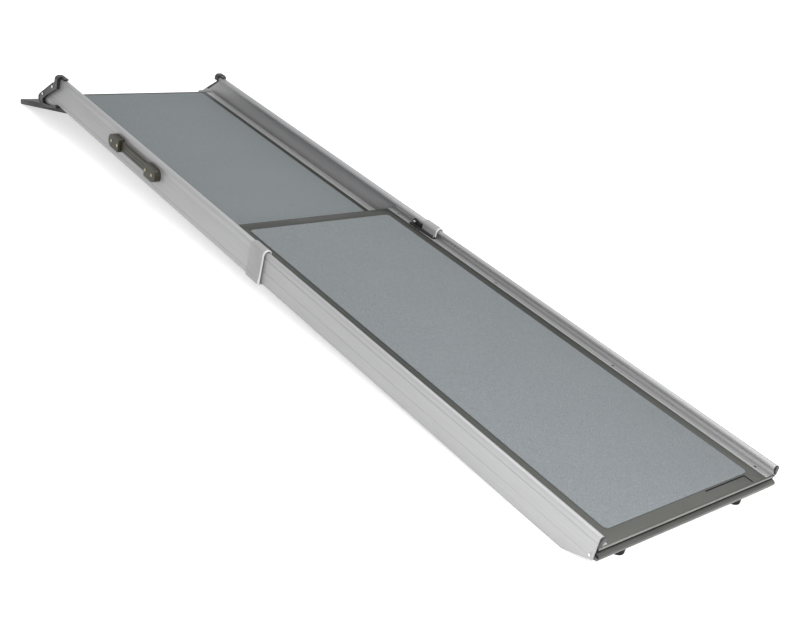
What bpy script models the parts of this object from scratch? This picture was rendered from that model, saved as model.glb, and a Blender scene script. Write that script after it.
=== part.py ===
"""Telescoping dog ramp: a lower section that slides under the hooks of an upper one.

Metres, +Z up. Every piece is modelled along the ramp, on these axes: X across, to the right for someone who
walks up, Y up the ramp from the low ends of the lower rails, and Z square to the deck, from the lower deck's
top. An empty then tips the whole ramp until it stands on the floor, centred on the world's origin.
"""

import math

import bmesh
import bpy
from mathutils import Matrix, Vector

# Clearances
SEAT_GAP = 0.0003           # between pieces that are fixed to each other
RUNNING_GAP = 0.0005        # between pieces that slide on each other
ROOM = 0.0012               # around what is never touched
INSIDE = 0.001              # how far shapes that are joined reach into each other
PAST = 0.02                 # how far cutting shapes reach past what they cut

# Both sections
OVERALL_WIDTH = 0.432       # across the upper rails
LOWER_LENGTH = 0.981
UPPER_LENGTH = 0.883        # to the upright part of the rails' top ends
OVERLAP = 0.146             # of the extended sections
CLOSED_STANDS_OUT = 0.015   # of the lower rails' low ends before the upper rails', with the ramp closed

# Upper rails, which the lower rails' sizes follow from
UPPER_HALF = OVERALL_WIDTH / 2
UPPER_WALL = 0.0016
UPPER_GROOVE_Z = -0.0345
HOOK_WRAP = 200             # degrees of the hook, from the web over the top
UPPER_LEDGE_Z = -0.027
UPPER_LEDGE_REACH = 0.0192  # from the channel's wall to the ledge's edge
KEEPER_REACH = 0.0056       # of the small flange that holds the deck up
SLANT_START_Z = 0.008       # where the upright top end turns into a slant
SLANT_RUN = 1.203           # run along the ramp for each unit of drop

# Lower rails
LOWER_WALL = 0.0018
LOWER_HALF = UPPER_HALF - UPPER_WALL - RUNNING_GAP
BEAD_RADIUS = 0.0052
BEAD_BORE = 0.0036
BEAD_Z = 0.0134
BEAD_X = LOWER_HALF - BEAD_RADIUS
LEDGE_FILLET = 0.0070
LEDGE_WIDTH = 0.0227        # from the web's outer face to the ledge's edge
LEDGE_INNER = LOWER_HALF - LEDGE_WIDTH
LOWER_BOTTOM = -0.0417
LOWER_GROOVE_Z = -0.0178
FOOT_WIDTH = 0.0099         # of the flange along the rail's bottom
FOOT_INNER = LOWER_HALF - FOOT_WIDTH
FOOT_ROOM = 0.0008          # beside it in the upper rail's channel
CHAMFER_DEPTH = 0.0215      # where the low corner's slant leaves the end
CHAMFER_LENGTH = 0.053
CHAMFER_SLOPE = (-LOWER_BOTTOM - CHAMFER_DEPTH) / CHAMFER_LENGTH
GROOVE_WIDTH = 0.0014
GROOVE_DEPTH = 0.0006

# What follows for the upper rails
UPPER_START = LOWER_LENGTH - OVERLAP
UPPER_END = UPPER_START + UPPER_LENGTH
TRAVEL = UPPER_START - CLOSED_STANDS_OUT
HOOK_INNER = BEAD_RADIUS + RUNNING_GAP
HOOK_OUTER = HOOK_INNER + UPPER_WALL
STRIP_THICKNESS = 0.0009
CHANNEL_FLOOR = LOWER_BOTTOM - 2 * SEAT_GAP - STRIP_THICKNESS
UPPER_BOTTOM = CHANNEL_FLOOR - UPPER_WALL
CHANNEL_INNER = FOOT_INNER - FOOT_ROOM
CHANNEL_WALL_IN = CHANNEL_INNER - UPPER_WALL
UPPER_LEDGE_INNER = CHANNEL_INNER - UPPER_LEDGE_REACH

# Decks and mats
PLATE = 0.0035              # thickness of a deck's plate
LOWER_RIB_DEPTH = 0.0165    # under the plate
UPPER_RIB_DEPTH = 0.0118
RIB_WIDTH = 0.003
RIB_CELLS_ACROSS = 5
RIB_CELLS_ALONG = 7
RIB_MARGIN = 0.009          # from the plate's edge to the ribs
LOWER_RIB_START = 0.045     # room for the bumper's shelf and flange
DECK_START = 0.0            # of the lower deck, behind the bumper's nose
MAT_THICKNESS = 0.0015
MAT_STANDS_OUT = 0.0008
MAT_CORNER = 0.008
LOWER_MAT_SIDE = 0.0212     # from the ledges' edges
LOWER_MAT_START = 0.0227
LOWER_MAT_MARGIN = 0.0265   # at the top end
UPPER_MAT_SIDE = 0.014
UPPER_MAT_MARGIN = 0.013
UPPER_MAT_END_MARGIN = 0.004
UPPER_DECK_SETBACK = 0.037  # from the rails' low ends, room for the feet of the closed ramp
UPPER_DECK_REACH = 0.010    # past the upright part of the rails' top ends
KEEPER_TOP = UPPER_LEDGE_Z - PLATE - 2 * SEAT_GAP

# Nameplate, blank
PLATE_FROM_LEDGE = 0.0332   # its right edge, from the right ledge's edge
PLATE_WIDTH = 0.1025
PLATE_HEIGHT = 0.0185
PLATE_Y = 0.0015            # from the deck's edge
PLATE_DEPTH = 0.0010

# Rivets of the lower deck
RIVET_INSET = 0.027         # of the first and the last one from the rails' ends
RIVETS_A_SIDE = 4
RIVET_PITCH = (LOWER_LENGTH - 2 * RIVET_INSET) / (RIVETS_A_SIDE - 1)
RIVET_SHANK = 0.0013
RIVET_HEAD = 0.0024
RIVET_HEAD_HEIGHT = 0.0008
RIVET_SINK = 0.0001         # of the head's top under the ledge's
RIVET_HOLE_LENGTH = 0.014
RIVET_SEAT_SIDES = 16
RIVET_FROM_WEB = 0.0152     # from the web's outer face

# Bumper at the low end
NOSE_RADIUS = 0.0020
NOSE_OUT = 0.0012           # of its round edge's centre from the rails' ends
BUMPER_INSET = 0.0015       # of its ends from the rails' outer faces
BUMPER_GROOVE_OUT = 0.0010
BUMPER_GROOVE_TOP = 0.0042
BUMPER_GROOVE_BOTTOM = 0.0086
BUMPER_BOTTOM = 0.0250
BUMPER_BODY = (             # outline under the groove: out from the rails' ends, and down from the deck
    (0.0049, 0.0093),
    (0.0073, 0.0112),
    (0.0079, 0.0138),
    (0.0068, 0.0168),
    (0.0032, 0.0228),
    (SEAT_GAP, BUMPER_BOTTOM),
)
BUMPER_END_RADIUS = 0.011
SEAT_WALL = 0.0052          # from the rails' ends to the back of the wall behind the bar
FLANGE_BESIDE = 0.004       # room to the upper rails' ledges, which it passes in the closed ramp
FLANGE_HALF = UPPER_LEDGE_INNER - FLANGE_BESIDE
FLANGE_LENGTH = 0.034
FLANGE_THICKNESS = 0.0032
SHELF_LENGTH = 0.018
SHELF_THICKNESS = 0.0025
LUG_LENGTH = 0.014
LUG_TOP = 0.0075
LUG_BOTTOM = 0.0205
BUMPER_SCREW_Y = 0.007
BUMPER_SCREW_Z = -0.0165
BUMPER_SCREW_HEAD = 0.0021
BUMPER_SCREW_HEAD_HEIGHT = 0.0006
BUMPER_SCREW_LENGTH = 0.0078
BUMPER_SCREW_HOLE = 0.024

# Feet
FOOT_INSET = 0.0395         # from the flange's ends
FOOT_X = FLANGE_HALF - FOOT_INSET
FOOT_ALONG = 0.0125
FOOT_RADIUS = 0.0118
FOOT_BLANK = 0.030          # height before its top is cut to the flange's slope
FOOT_SIDES = 24
FOOT_EDGE = 0.0016

# Plugs in the beads
PLUG_LENGTH = 0.0030
PLUG_STEM = 0.015
PLUG_WRAP = 215             # degrees of the round head, from the web over the top
PLUG_INSET = 0.0002         # from the bead's outline
PLUG_TAIL_WIDTH = 0.0026
PLUG_TAIL_Z = 0.0008
PLUG_EDGE = 0.0009

# Guides between the sections
STRIP_LENGTH = 0.130
STRIP_FROM_END = 0.004
GUIDE_HEIGHT = 0.0072
GLIDE_LENGTH = 0.045
GLIDE_FROM_END = 0.006
GLIDE_OVERHANG = 0.0004     # past the edge of the rail's foot
STOP_LENGTH = 0.029
LEDGE_STUB = 0.0001         # left of the ledge and the keeper flange past the deck's end

# Collars
COLLAR_WALL = 0.0019
COLLAR_LENGTH = 0.044
COLLAR_OVERHANG = 0.002     # past the rails' low ends
COLLAR_SKIRT_Z = 0.004
COLLAR_STEP_Z = -0.0352
COLLAR_STEP = 0.0008
COLLAR_UNDER = 0.011        # reach under the rail

# Lip at the top end
LIP_SLOPE = 0.2959
LIP_BACK = 0.050            # from the rails' upright ends, under the rails
LIP_REACH = 0.1962          # from the rails' upright ends to the round tip's centre
LIP_THICKNESS = 0.0125
LIP_UNDER_Z = -0.0472       # of the underside at its back edge
LIP_TIP = LIP_THICKNESS / 2
LIP_TOP_FLAT = UPPER_BOTTOM - 2 * SEAT_GAP
RISER_THICKNESS = 0.006
POCKETS = 6
POCKET_RIB = 0.010
POCKET_DEPTH = 0.009
POCKET_BACK = 0.030         # from the lip's back edge
POCKET_RISE = 0.045         # length over which a pocket gets to its full depth
POCKET_BACK_SHARE = 1 / 3   # of its depth, at its back edge
LIP_EDGE = 0.045            # solid strip along the tip
PAD_SIZE = (0.050, 0.028, 0.002)
PAD_INSET = 0.040           # of its middle from the lip's ends
PAD_FROM_TIP = 0.026

# Brackets under the upper rails' top ends
BRACKET_END = 0.0805        # past the rails' upright ends
BRACKET_FROM_BEND = 0.006   # behind it, from the bend in the lip's top
BRACKET_WIDTH = 0.012
BRACKET_CORNER = 0.006

# Caps on the upper rails' top ends
CAP_THICKNESS = 0.0077
CAP_OUTLINE = (             # of the band seen from the side: past the rails' upright ends, and height
    (-0.0085, 0.0150),
    (-0.0085, -0.0012),
    (-0.0070, -0.0042),
    (0.0180, -0.0210),
    (0.0424, -0.0377),
    (0.0610, -0.0535),
    (0.0632, -0.0575),
    (0.0600, -0.0612),
    (0.0540, -0.0620),
    (0.0407, -0.0600),
    (0.0185, -0.0536),
    (-0.0050, -0.0440),
    (-0.0110, -0.0440),
    (-0.0130, -0.0470),
    (-0.0110, -0.0500),
    (0.0399, -0.0658),
    (0.0631, -0.0698),
    (0.0785, -0.0660),
    (0.0852, -0.0585),
    (0.0845, -0.0530),
    (0.0779, -0.0459),
    (0.0455, -0.0206),
    (0.0130, 0.0045),
    (0.0062, 0.0054),
    (0.0056, 0.0150),
)
LOOP_BACK = 0.0085
LOOP_FRONT = 0.0056
LOOP_TOP = 0.0250
LOOP_WALL = 0.0022
LOOP_SKIRT_Z = 0.010
LOOP_CORNER = 0.008
TONGUE_LENGTH = 0.0155
TONGUE_HALF = 0.0052
TONGUE_TOP = 0.0243
CAP_SCREW_UPPER = (0.0144, -0.0066)
CAP_SCREW_LOWER = (0.0627, -0.0417)

# Screws, and the shape of every head: shares of its radius and height
SCREW_HEAD = 0.0032
SCREW_HEAD_HEIGHT = 0.0013
SCREW_SHANK = 0.0013
HEAD_SHOULDER = 0.6
HEAD_SHOULDER_HEIGHT = 0.85
HEAD_EDGE_HEIGHT = 0.4

# Carry handle on the left rail
HANDLE_CENTRE = 0.489       # from the upper rails' low ends
HANDLE_LENGTH = 0.2086
HANDLE_Z = -0.0065
BOSS_RADIUS = 0.0143
BOSS_LENGTH = 0.046
BOSS_THICKNESS = 0.014
BOSS_EDGE = 0.0030
STRAP_WIDTH = 0.0225
STRAP_THICKNESS = 0.0042
STRAP_STANDS_OFF = 0.0035   # from the web to its inner face
STRAP_ENTRY = 0.012
STRAP_RIBS = 3
STRAP_RIB_WIDTH = 0.0035
STRAP_RIB_HEIGHT = 0.0008
HANDLE_SCREWS = (0.0143, 0.0411)

# Latch on the right rail
LATCH_Y = 0.065             # pivot, from the upper rails' low ends
LATCH_Z = 0.0080
LEVER_RADIUS = 0.0070
LEVER_ARM = 0.0175
LEVER_THICKNESS = 0.0020
LEVER_FROM_WEB = 0.0154
LEVER_X = LOWER_HALF - LEVER_FROM_WEB  # its inner face
LEVER_TIP = 0.0035          # of the arm's upper side over the pivot
LEVER_TIP_CORNER = 0.001
PAWL_LENGTH = 0.005
PAWL_LIFT = 0.0004          # over the ledge
PAWL_SLANT = (0.0025, 0.0028)
NOTCH_MARGIN = 0.0016
NOTCH_DEPTH = 0.0012
BRACKET_PLATE = 0.0020
BRACKET_LOW_Z = 0.0035
BRACKET_PAST_LEVER = 0.002
BRACKET_PLATE_CORNER = 0.002
PIN_RADIUS = 0.0014
PIN_HEAD = 0.0026
PIN_HEAD_HEIGHT = 0.0007
SPRING_WIRE = 0.0006
SPRING_RADIUS = 0.0024
SPRING_TURNS = 1.5
SPRING_POINTS = 14          # a turn
SPRING_LENGTH = 0.0030

PLANES = {
    "XY": Matrix(((1, 0, 0), (0, 1, 0), (0, 0, 1))),
    "XZ": Matrix(((1, 0, 0), (0, 0, -1), (0, 1, 0))),
    "YZ": Matrix(((0, 0, 1), (1, 0, 0), (0, 1, 0))),
}
NORMALS = {"XY": Vector((0, 0, 1)), "XZ": Vector((0, 1, 0)), "YZ": Vector((1, 0, 0))}

COLOURS = {
    "rail_aluminium": ((0.52, 0.52, 0.53), 0.38, 0.9),
    "collar_grey": ((0.50, 0.50, 0.51), 0.45, 0.0),
    "deck_plastic": ((0.09, 0.09, 0.085), 0.55, 0.0),
    "grip_mat": ((0.23, 0.26, 0.28), 0.95, 0.0),
    "black_plastic": ((0.035, 0.035, 0.035), 0.45, 0.0),
    "handle_plastic": ((0.065, 0.063, 0.052), 0.5, 0.0),
    "rubber": ((0.012, 0.012, 0.012), 0.8, 0.0),
    "steel": ((0.60, 0.60, 0.60), 0.3, 1.0),
}


# Scene, materials and shape helpers

def clear_scene():
    for thing in list(bpy.data.objects):
        bpy.data.objects.remove(thing, do_unlink=True)


def new_collection(name):
    collection = bpy.data.collections.new(name)
    bpy.context.scene.collection.children.link(collection)
    return collection


def material(name):
    if name in bpy.data.materials:
        return bpy.data.materials[name]
    colour, roughness, metallic = COLOURS[name]
    made = bpy.data.materials.new(name)
    made.use_nodes = True
    shader = made.node_tree.nodes["Principled BSDF"]
    shader.inputs["Base Color"].default_value = (*colour, 1.0)
    shader.inputs["Roughness"].default_value = roughness
    shader.inputs["Metallic"].default_value = metallic
    made.diffuse_color = (*colour, 1.0)
    return made


def arc(u, v, radius, start, end, steps):
    """Points of an arc, with its angles in degrees."""
    points = []
    for i in range(steps + 1):
        angle = math.radians(start + (end - start) * i / steps)
        points.append((u + radius * math.cos(angle), v + radius * math.sin(angle)))
    return points


def rounded_rectangle(u0, u1, v0, v1, radius, steps=5):
    return (
        arc(u1 - radius, v1 - radius, radius, 0, 90, steps)
        + arc(u0 + radius, v1 - radius, radius, 90, 180, steps)
        + arc(u0 + radius, v0 + radius, radius, 180, 270, steps)
        + arc(u1 - radius, v0 + radius, radius, 270, 360, steps)
    )


def extruded(loops, plane, low, high):
    """A flat outline, with any holes, made solid from low to high along the plane's normal."""
    outline = bpy.data.curves.new("outline", "CURVE")
    outline.dimensions = "2D"
    outline.fill_mode = "BOTH"
    outline.extrude = (high - low) / 2
    for loop in loops:
        spline = outline.splines.new("POLY")
        spline.points.add(len(loop) - 1)
        for point, (u, v) in zip(spline.points, loop):
            point.co = (u, v, 0, 1)
        spline.use_cyclic_u = True
    holder = bpy.data.objects.new("outline", outline)
    bpy.context.scene.collection.objects.link(holder)
    depsgraph = bpy.context.evaluated_depsgraph_get()
    mesh = bpy.data.meshes.new_from_object(holder.evaluated_get(depsgraph))
    bpy.data.objects.remove(holder, do_unlink=True)
    bpy.data.curves.remove(outline)
    shape = bmesh.new()
    shape.from_mesh(mesh)
    bmesh.ops.remove_doubles(shape, verts=shape.verts, dist=1e-7)
    middle = NORMALS[plane] * (low + high) / 2
    shape.transform(Matrix.Translation(middle) @ PLANES[plane].to_4x4())
    bmesh.ops.recalc_face_normals(shape, faces=shape.faces)
    shape.to_mesh(mesh)
    shape.free()
    return mesh


def boxes(spans):
    """One mesh of boxes, each given as its lowest and highest corner."""
    mesh = bpy.data.meshes.new("boxes")
    shape = bmesh.new()
    for low, high in spans:
        low = Vector(low)
        size = Vector(high) - low
        place = Matrix.Translation(low + size / 2) @ Matrix.Diagonal((*size, 1))
        bmesh.ops.create_cube(shape, size=1, matrix=place)
    shape.to_mesh(mesh)
    shape.free()
    return mesh


def rods(radius, length, axis, centres, sides=12):
    """One mesh of round bars along an axis, for holes and stems."""
    turn = {"X": Matrix.Rotation(math.pi / 2, 4, "Y"), "Y": Matrix.Rotation(math.pi / 2, 4, "X"), "Z": Matrix()}
    mesh = bpy.data.meshes.new("rods")
    shape = bmesh.new()
    for centre in centres:
        place = Matrix.Translation(centre) @ turn[axis]
        bmesh.ops.create_cone(
            shape, cap_ends=True, segments=sides, radius1=radius, radius2=radius, depth=length, matrix=place
        )
    shape.to_mesh(mesh)
    shape.free()
    return mesh


def mirrored(mesh):
    """The same shape for the left side."""
    other = mesh.copy()
    shape = bmesh.new()
    shape.from_mesh(other)
    shape.transform(Matrix.Diagonal((-1, 1, 1, 1)))
    bmesh.ops.reverse_faces(shape, faces=shape.faces)
    shape.to_mesh(other)
    shape.free()
    return other


def piece(name, mesh, finish, parent, origin=(0, 0, 0)):
    """A named part whose mesh is drawn on the ramp's axes, with its own origin at the point given."""
    mesh.transform(Matrix.Translation(-Vector(origin)))
    mesh.materials.clear()
    mesh.materials.append(material(finish))
    mesh.shade_smooth()
    mesh.set_sharp_from_angle(angle=math.radians(35))
    made = bpy.data.objects.new(name, mesh)
    made.parent = parent
    made.location = Vector(origin) - Vector(parent.get("origin", (0, 0, 0)))
    PARTS.objects.link(made)
    return made


def tool(name, mesh, parent):
    """A shape that cuts or joins others."""
    made = bpy.data.objects.new(name, mesh)
    made.parent = parent
    made.location = -Vector(parent.get("origin", (0, 0, 0)))
    made.hide_render = True
    made.display_type = "WIRE"
    CUTTERS.objects.link(made)
    return made


def combine(target, other, operation="DIFFERENCE"):
    step = target.modifiers.new(other.name, "BOOLEAN")
    step.operation = operation
    step.object = other
    step.solver = "EXACT"


def soften(target, width, segments=2, angle=40):
    step = target.modifiers.new("edges", "BEVEL")
    step.width = width
    step.segments = segments
    step.limit_method = "ANGLE"
    step.angle_limit = math.radians(angle)


def turned(name, profile, finish, parent, place, rotation=(0, 0, 0), sides=10):
    """A turned part. Its profile runs down the outer side, from the axis back to the axis."""
    mesh = bpy.data.meshes.new(name)
    points = [(radius, 0, height) for radius, height in profile]
    mesh.from_pydata(points, [(i, i + 1) for i in range(len(points) - 1)], [])
    made = piece(name, mesh, finish, parent)
    made.location = Vector(place) - Vector(parent.get("origin", (0, 0, 0)))
    made.rotation_euler = rotation
    step = made.modifiers.new("turn", "SCREW")
    step.axis = "Z"
    step.steps = sides
    step.render_steps = sides
    step.use_merge_vertices = True
    step.merge_threshold = 1e-5
    return made


def head_profile(radius, height, shank):
    """A domed head seated over the surface at zero, from the axis round to where its shank starts."""
    return [
        (0, SEAT_GAP + height),
        (radius * HEAD_SHOULDER, SEAT_GAP + height * HEAD_SHOULDER_HEIGHT),
        (radius, SEAT_GAP + height * HEAD_EDGE_HEIGHT),
        (radius, SEAT_GAP),
        (shank, SEAT_GAP),
    ]


def screw_profile(radius, height, shank, length):
    return head_profile(radius, height, shank) + [(shank, -length), (0, -length)]


def holder(name, parent=None, origin=(0, 0, 0)):
    """An empty that carries a group of parts, with its origin on the ramp's axes."""
    made = bpy.data.objects.new(name, None)
    made["origin"] = origin
    made.parent = parent
    if parent:
        made.location = Vector(origin) - Vector(parent["origin"])
    PARTS.objects.link(made)
    return made


# Sections of the rails

def groove(face, z):
    """A fine line along a rail's outer face."""
    return [(face, z - GROOVE_WIDTH / 2), (face - GROOVE_DEPTH, z), (face, z + GROOVE_WIDTH / 2)]


def lower_rail_loops():
    web = LOWER_HALF - LOWER_WALL
    crown = 360 - math.degrees(math.acos((web - BEAD_X) / BEAD_RADIUS))
    outline = [(LOWER_HALF, LOWER_BOTTOM)]
    outline += groove(LOWER_HALF, LOWER_GROOVE_Z)
    outline += arc(BEAD_X, BEAD_Z, BEAD_RADIUS, 0, crown, 20)
    outline += arc(web - LEDGE_FILLET, LEDGE_FILLET, LEDGE_FILLET, 0, -90, 5)
    outline += [
        (LEDGE_INNER, 0),
        (LEDGE_INNER, -LOWER_WALL),
        (web, -LOWER_WALL),
        (web, LOWER_BOTTOM + LOWER_WALL),
        (FOOT_INNER, LOWER_BOTTOM + LOWER_WALL),
        (FOOT_INNER, LOWER_BOTTOM),
    ]
    bore = arc(BEAD_X, BEAD_Z, BEAD_BORE, 0, 360, 14)[:-1]
    return [outline, bore]


def upper_rail_loops():
    web = BEAD_X + HOOK_INNER
    outline = [(UPPER_HALF, UPPER_BOTTOM)]
    outline += groove(UPPER_HALF, UPPER_GROOVE_Z)
    outline += arc(BEAD_X, BEAD_Z, HOOK_OUTER, 0, HOOK_WRAP, 16)
    outline += arc(BEAD_X, BEAD_Z, HOOK_INNER, HOOK_WRAP, 0, 14)
    outline += [
        (web, CHANNEL_FLOOR),
        (CHANNEL_INNER, CHANNEL_FLOOR),
        (CHANNEL_INNER, UPPER_LEDGE_Z),
        (UPPER_LEDGE_INNER, UPPER_LEDGE_Z),
        (UPPER_LEDGE_INNER, UPPER_LEDGE_Z - UPPER_WALL),
        (CHANNEL_WALL_IN, UPPER_LEDGE_Z - UPPER_WALL),
        (CHANNEL_WALL_IN, KEEPER_TOP),
        (CHANNEL_WALL_IN - KEEPER_REACH, KEEPER_TOP),
        (CHANNEL_WALL_IN - KEEPER_REACH, KEEPER_TOP - UPPER_WALL),
        (CHANNEL_WALL_IN, KEEPER_TOP - UPPER_WALL),
        (CHANNEL_WALL_IN, UPPER_BOTTOM),
    ]
    return [outline]


# Places that several parts share

def chamfer_z(y):
    return -(CHAMFER_DEPTH + CHAMFER_SLOPE * y)


def slant_y(z):
    return UPPER_END + (SLANT_START_Z - z) * SLANT_RUN


def lip_under_z(y):
    return LIP_UNDER_Z - LIP_SLOPE * (y - UPPER_END + LIP_BACK)


def lip_top_z(y):
    return lip_under_z(y) + LIP_THICKNESS * math.hypot(1, LIP_SLOPE)


def lip_bend_y():
    """Where the lip's top turns from its flat part under the rails into its slope."""
    return UPPER_END + (lip_top_z(UPPER_END) - LIP_TOP_FLAT) / LIP_SLOPE


def lip_tip_centre():
    """Y and Z of the middle of the lip's round tip."""
    tip = UPPER_END + LIP_REACH
    return tip, (lip_under_z(tip) + lip_top_z(tip)) / 2


def ramp_tilt():
    """How far the ramp tips, so that it rests on its rails' low corners and on the lip's round tip."""
    tip_y, tip_z = lip_tip_centre()
    run = tip_y - CHAMFER_LENGTH
    drop = LOWER_BOTTOM - tip_z
    return math.atan2(drop, run) + math.asin(LIP_TIP / math.hypot(run, drop))


def floor_z(y):
    return LOWER_BOTTOM - (y - CHAMFER_LENGTH) * math.tan(ramp_tilt())


def rivet_places():
    x = LOWER_HALF - RIVET_FROM_WEB
    return [(side * x, RIVET_INSET + RIVET_PITCH * i) for side in (-1, 1) for i in range(RIVETS_A_SIDE)]


def bumper_screw_places():
    return [(side * LOWER_HALF, BUMPER_SCREW_Y, BUMPER_SCREW_Z) for side in (-1, 1)]


def notch_spans():
    """The notches in the right rail's ledge, under the latch's pawl, with the ramp extended and closed."""
    tip = UPPER_START + LATCH_Y - LEVER_ARM
    low = tip - NOTCH_MARGIN
    high = tip + PAWL_LENGTH + NOTCH_MARGIN
    return [(low, high), (low - TRAVEL, high - TRAVEL)]


# Lower section

def deck(name, parent, half, flange_half, top, flange_top, start, end, ribs_start, ribs_depth):
    """A moulded deck: a plate with a flange under each ledge, and a grid of ribs under the plate."""
    bottom = top - PLATE
    plate = [
        (half, top),
        (half, flange_top),
        (flange_half, flange_top),
        (flange_half, bottom),
        (-flange_half, bottom),
        (-flange_half, flange_top),
        (-half, flange_top),
        (-half, top),
    ]
    made = piece(name, extruded([plate], "XZ", start, end), "deck_plastic", parent, (0, start, top))
    ribs_half = half - RIB_MARGIN
    ribs_end = end - RIB_MARGIN
    grid = [[(-ribs_half, ribs_start), (ribs_half, ribs_start), (ribs_half, ribs_end), (-ribs_half, ribs_end)]]
    cell_width = (2 * ribs_half - RIB_WIDTH) / RIB_CELLS_ACROSS
    cell_length = (ribs_end - ribs_start - RIB_WIDTH) / RIB_CELLS_ALONG
    for i in range(RIB_CELLS_ACROSS):
        for j in range(RIB_CELLS_ALONG):
            left = -ribs_half + RIB_WIDTH + i * cell_width
            low = ribs_start + RIB_WIDTH + j * cell_length
            right = left + cell_width - RIB_WIDTH
            high = low + cell_length - RIB_WIDTH
            grid.append([(left, low), (right, low), (right, high), (left, high)])
    ribs = tool(name + "_ribs", extruded(grid, "XY", bottom - ribs_depth, bottom + INSIDE), parent)
    combine(made, ribs, "UNION")
    return made


def mat(name, parent, carrier, half, start, end, deck_top):
    """A grip mat in a shallow recess of its deck."""
    top = deck_top + MAT_STANDS_OUT
    outline = rounded_rectangle(-half, half, start, end, MAT_CORNER)
    piece(name, extruded([outline], "XY", top - MAT_THICKNESS, top), "grip_mat", parent, (0, start, top))
    recess = rounded_rectangle(
        -half - SEAT_GAP, half + SEAT_GAP, start - SEAT_GAP, end + SEAT_GAP, MAT_CORNER + SEAT_GAP
    )
    floor = top - MAT_THICKNESS - SEAT_GAP
    combine(carrier, tool(name + "_recess", extruded([recess], "XY", floor, deck_top + INSIDE), parent))


def make_lower_rails(parent, rivet_holes, rivet_seats, screw_holes):
    reach = LOWER_HALF + ROOM
    chamfer_end = CHAMFER_LENGTH + PAST
    chamfer = [
        (-PAST, chamfer_z(-PAST)),
        (chamfer_end, chamfer_z(chamfer_end)),
        (chamfer_end, LOWER_BOTTOM - PAST),
        (-PAST, LOWER_BOTTOM - PAST),
    ]
    corner = tool("low_corner_cut", extruded([chamfer], "YZ", -reach, reach), parent)
    near = LEVER_X - SEAT_GAP
    far = LEVER_X + LEVER_THICKNESS + ROOM
    notches = boxes([((near, low, -NOTCH_DEPTH), (far, high, INSIDE)) for low, high in notch_spans()])
    notches = tool("latch_notches", notches, parent)
    right = extruded(lower_rail_loops(), "XZ", 0, LOWER_LENGTH)
    for side, mesh in (("left", mirrored(right)), ("right", right)):
        x = -LOWER_HALF if side == "left" else LOWER_HALF
        rail = piece("lower_rail_" + side, mesh, "rail_aluminium", parent, (x, 0, 0))
        combine(rail, corner)
        if side == "right":
            combine(rail, notches)
        combine(rail, rivet_holes)
        combine(rail, rivet_seats)
        combine(rail, screw_holes)


def make_lower_deck(parent, rivet_holes):
    flange_half = LOWER_HALF - LOWER_WALL - 2 * SEAT_GAP
    flange_top = -LOWER_WALL - SEAT_GAP
    half = LEDGE_INNER - SEAT_GAP
    end = LOWER_LENGTH
    panel = deck(
        "lower_deck", parent, half, flange_half, 0, flange_top, DECK_START, end, LOWER_RIB_START, LOWER_RIB_DEPTH
    )
    combine(panel, rivet_holes)
    mat("lower_grip_mat", parent, panel, LEDGE_INNER - LOWER_MAT_SIDE, LOWER_MAT_START, end - LOWER_MAT_MARGIN, 0)
    right = LEDGE_INNER - PLATE_FROM_LEDGE
    left = right - PLATE_WIDTH
    low = DECK_START + PLATE_Y
    high = low + PLATE_HEIGHT
    recess = boxes([((left, low, -PLATE_DEPTH), (right, high, INSIDE))])
    combine(panel, tool("nameplate_recess", recess, parent))
    gap = SEAT_GAP
    plate = boxes([((left + gap, low + gap, gap - PLATE_DEPTH), (right - gap, high - gap, -gap))])
    piece("nameplate_blank", plate, "deck_plastic", parent, (left, low, 0))


def make_deck_rivets(parent):
    """Rivets whose flat heads lie sunk in the ledges, so that the latch passes over them."""
    top = -RIVET_SINK
    seat = top - RIVET_HEAD_HEIGHT
    deep = -LOWER_WALL - SEAT_GAP - PLATE
    tail = -PLATE - SEAT_GAP
    tail_radius = RIVET_HEAD - SEAT_GAP
    profile = [(0, top), (RIVET_HEAD, top), (RIVET_HEAD, seat), (RIVET_SHANK, seat)]
    profile += [(RIVET_SHANK, tail), (tail_radius, tail), (tail_radius, deep), (0, deep)]
    for number, (x, y) in enumerate(rivet_places(), 1):
        turned(f"deck_rivet_{number}", profile, "black_plastic", parent, (x, y, 0))


def bumper_bar_loop():
    """The bar across the low ends: a round nose at deck height, a groove, and a fuller body under it."""
    outline = [(-SEAT_GAP, 0)]
    outline += arc(-NOSE_OUT, -NOSE_RADIUS, NOSE_RADIUS, 90, 250, 7)
    outline += [(-BUMPER_GROOVE_OUT, -BUMPER_GROOVE_TOP), (-BUMPER_GROOVE_OUT, -BUMPER_GROOVE_BOTTOM)]
    outline += [(-out, -down) for out, down in BUMPER_BODY]
    return outline


def bumper_seat_loop():
    """Behind the bar: a shelf for the deck's edge, a wall, and the sloped flange over the feet."""
    front = -SEAT_GAP - INSIDE
    shelf = -PLATE - SEAT_GAP
    return [
        (front, shelf),
        (SHELF_LENGTH, shelf),
        (SHELF_LENGTH, shelf - SHELF_THICKNESS),
        (SEAT_WALL, shelf - SHELF_THICKNESS),
        (SEAT_WALL, chamfer_z(SEAT_WALL) + FLANGE_THICKNESS),
        (FLANGE_LENGTH, chamfer_z(FLANGE_LENGTH) + FLANGE_THICKNESS),
        (FLANGE_LENGTH, chamfer_z(FLANGE_LENGTH)),
        (front, chamfer_z(front)),
    ]


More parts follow.
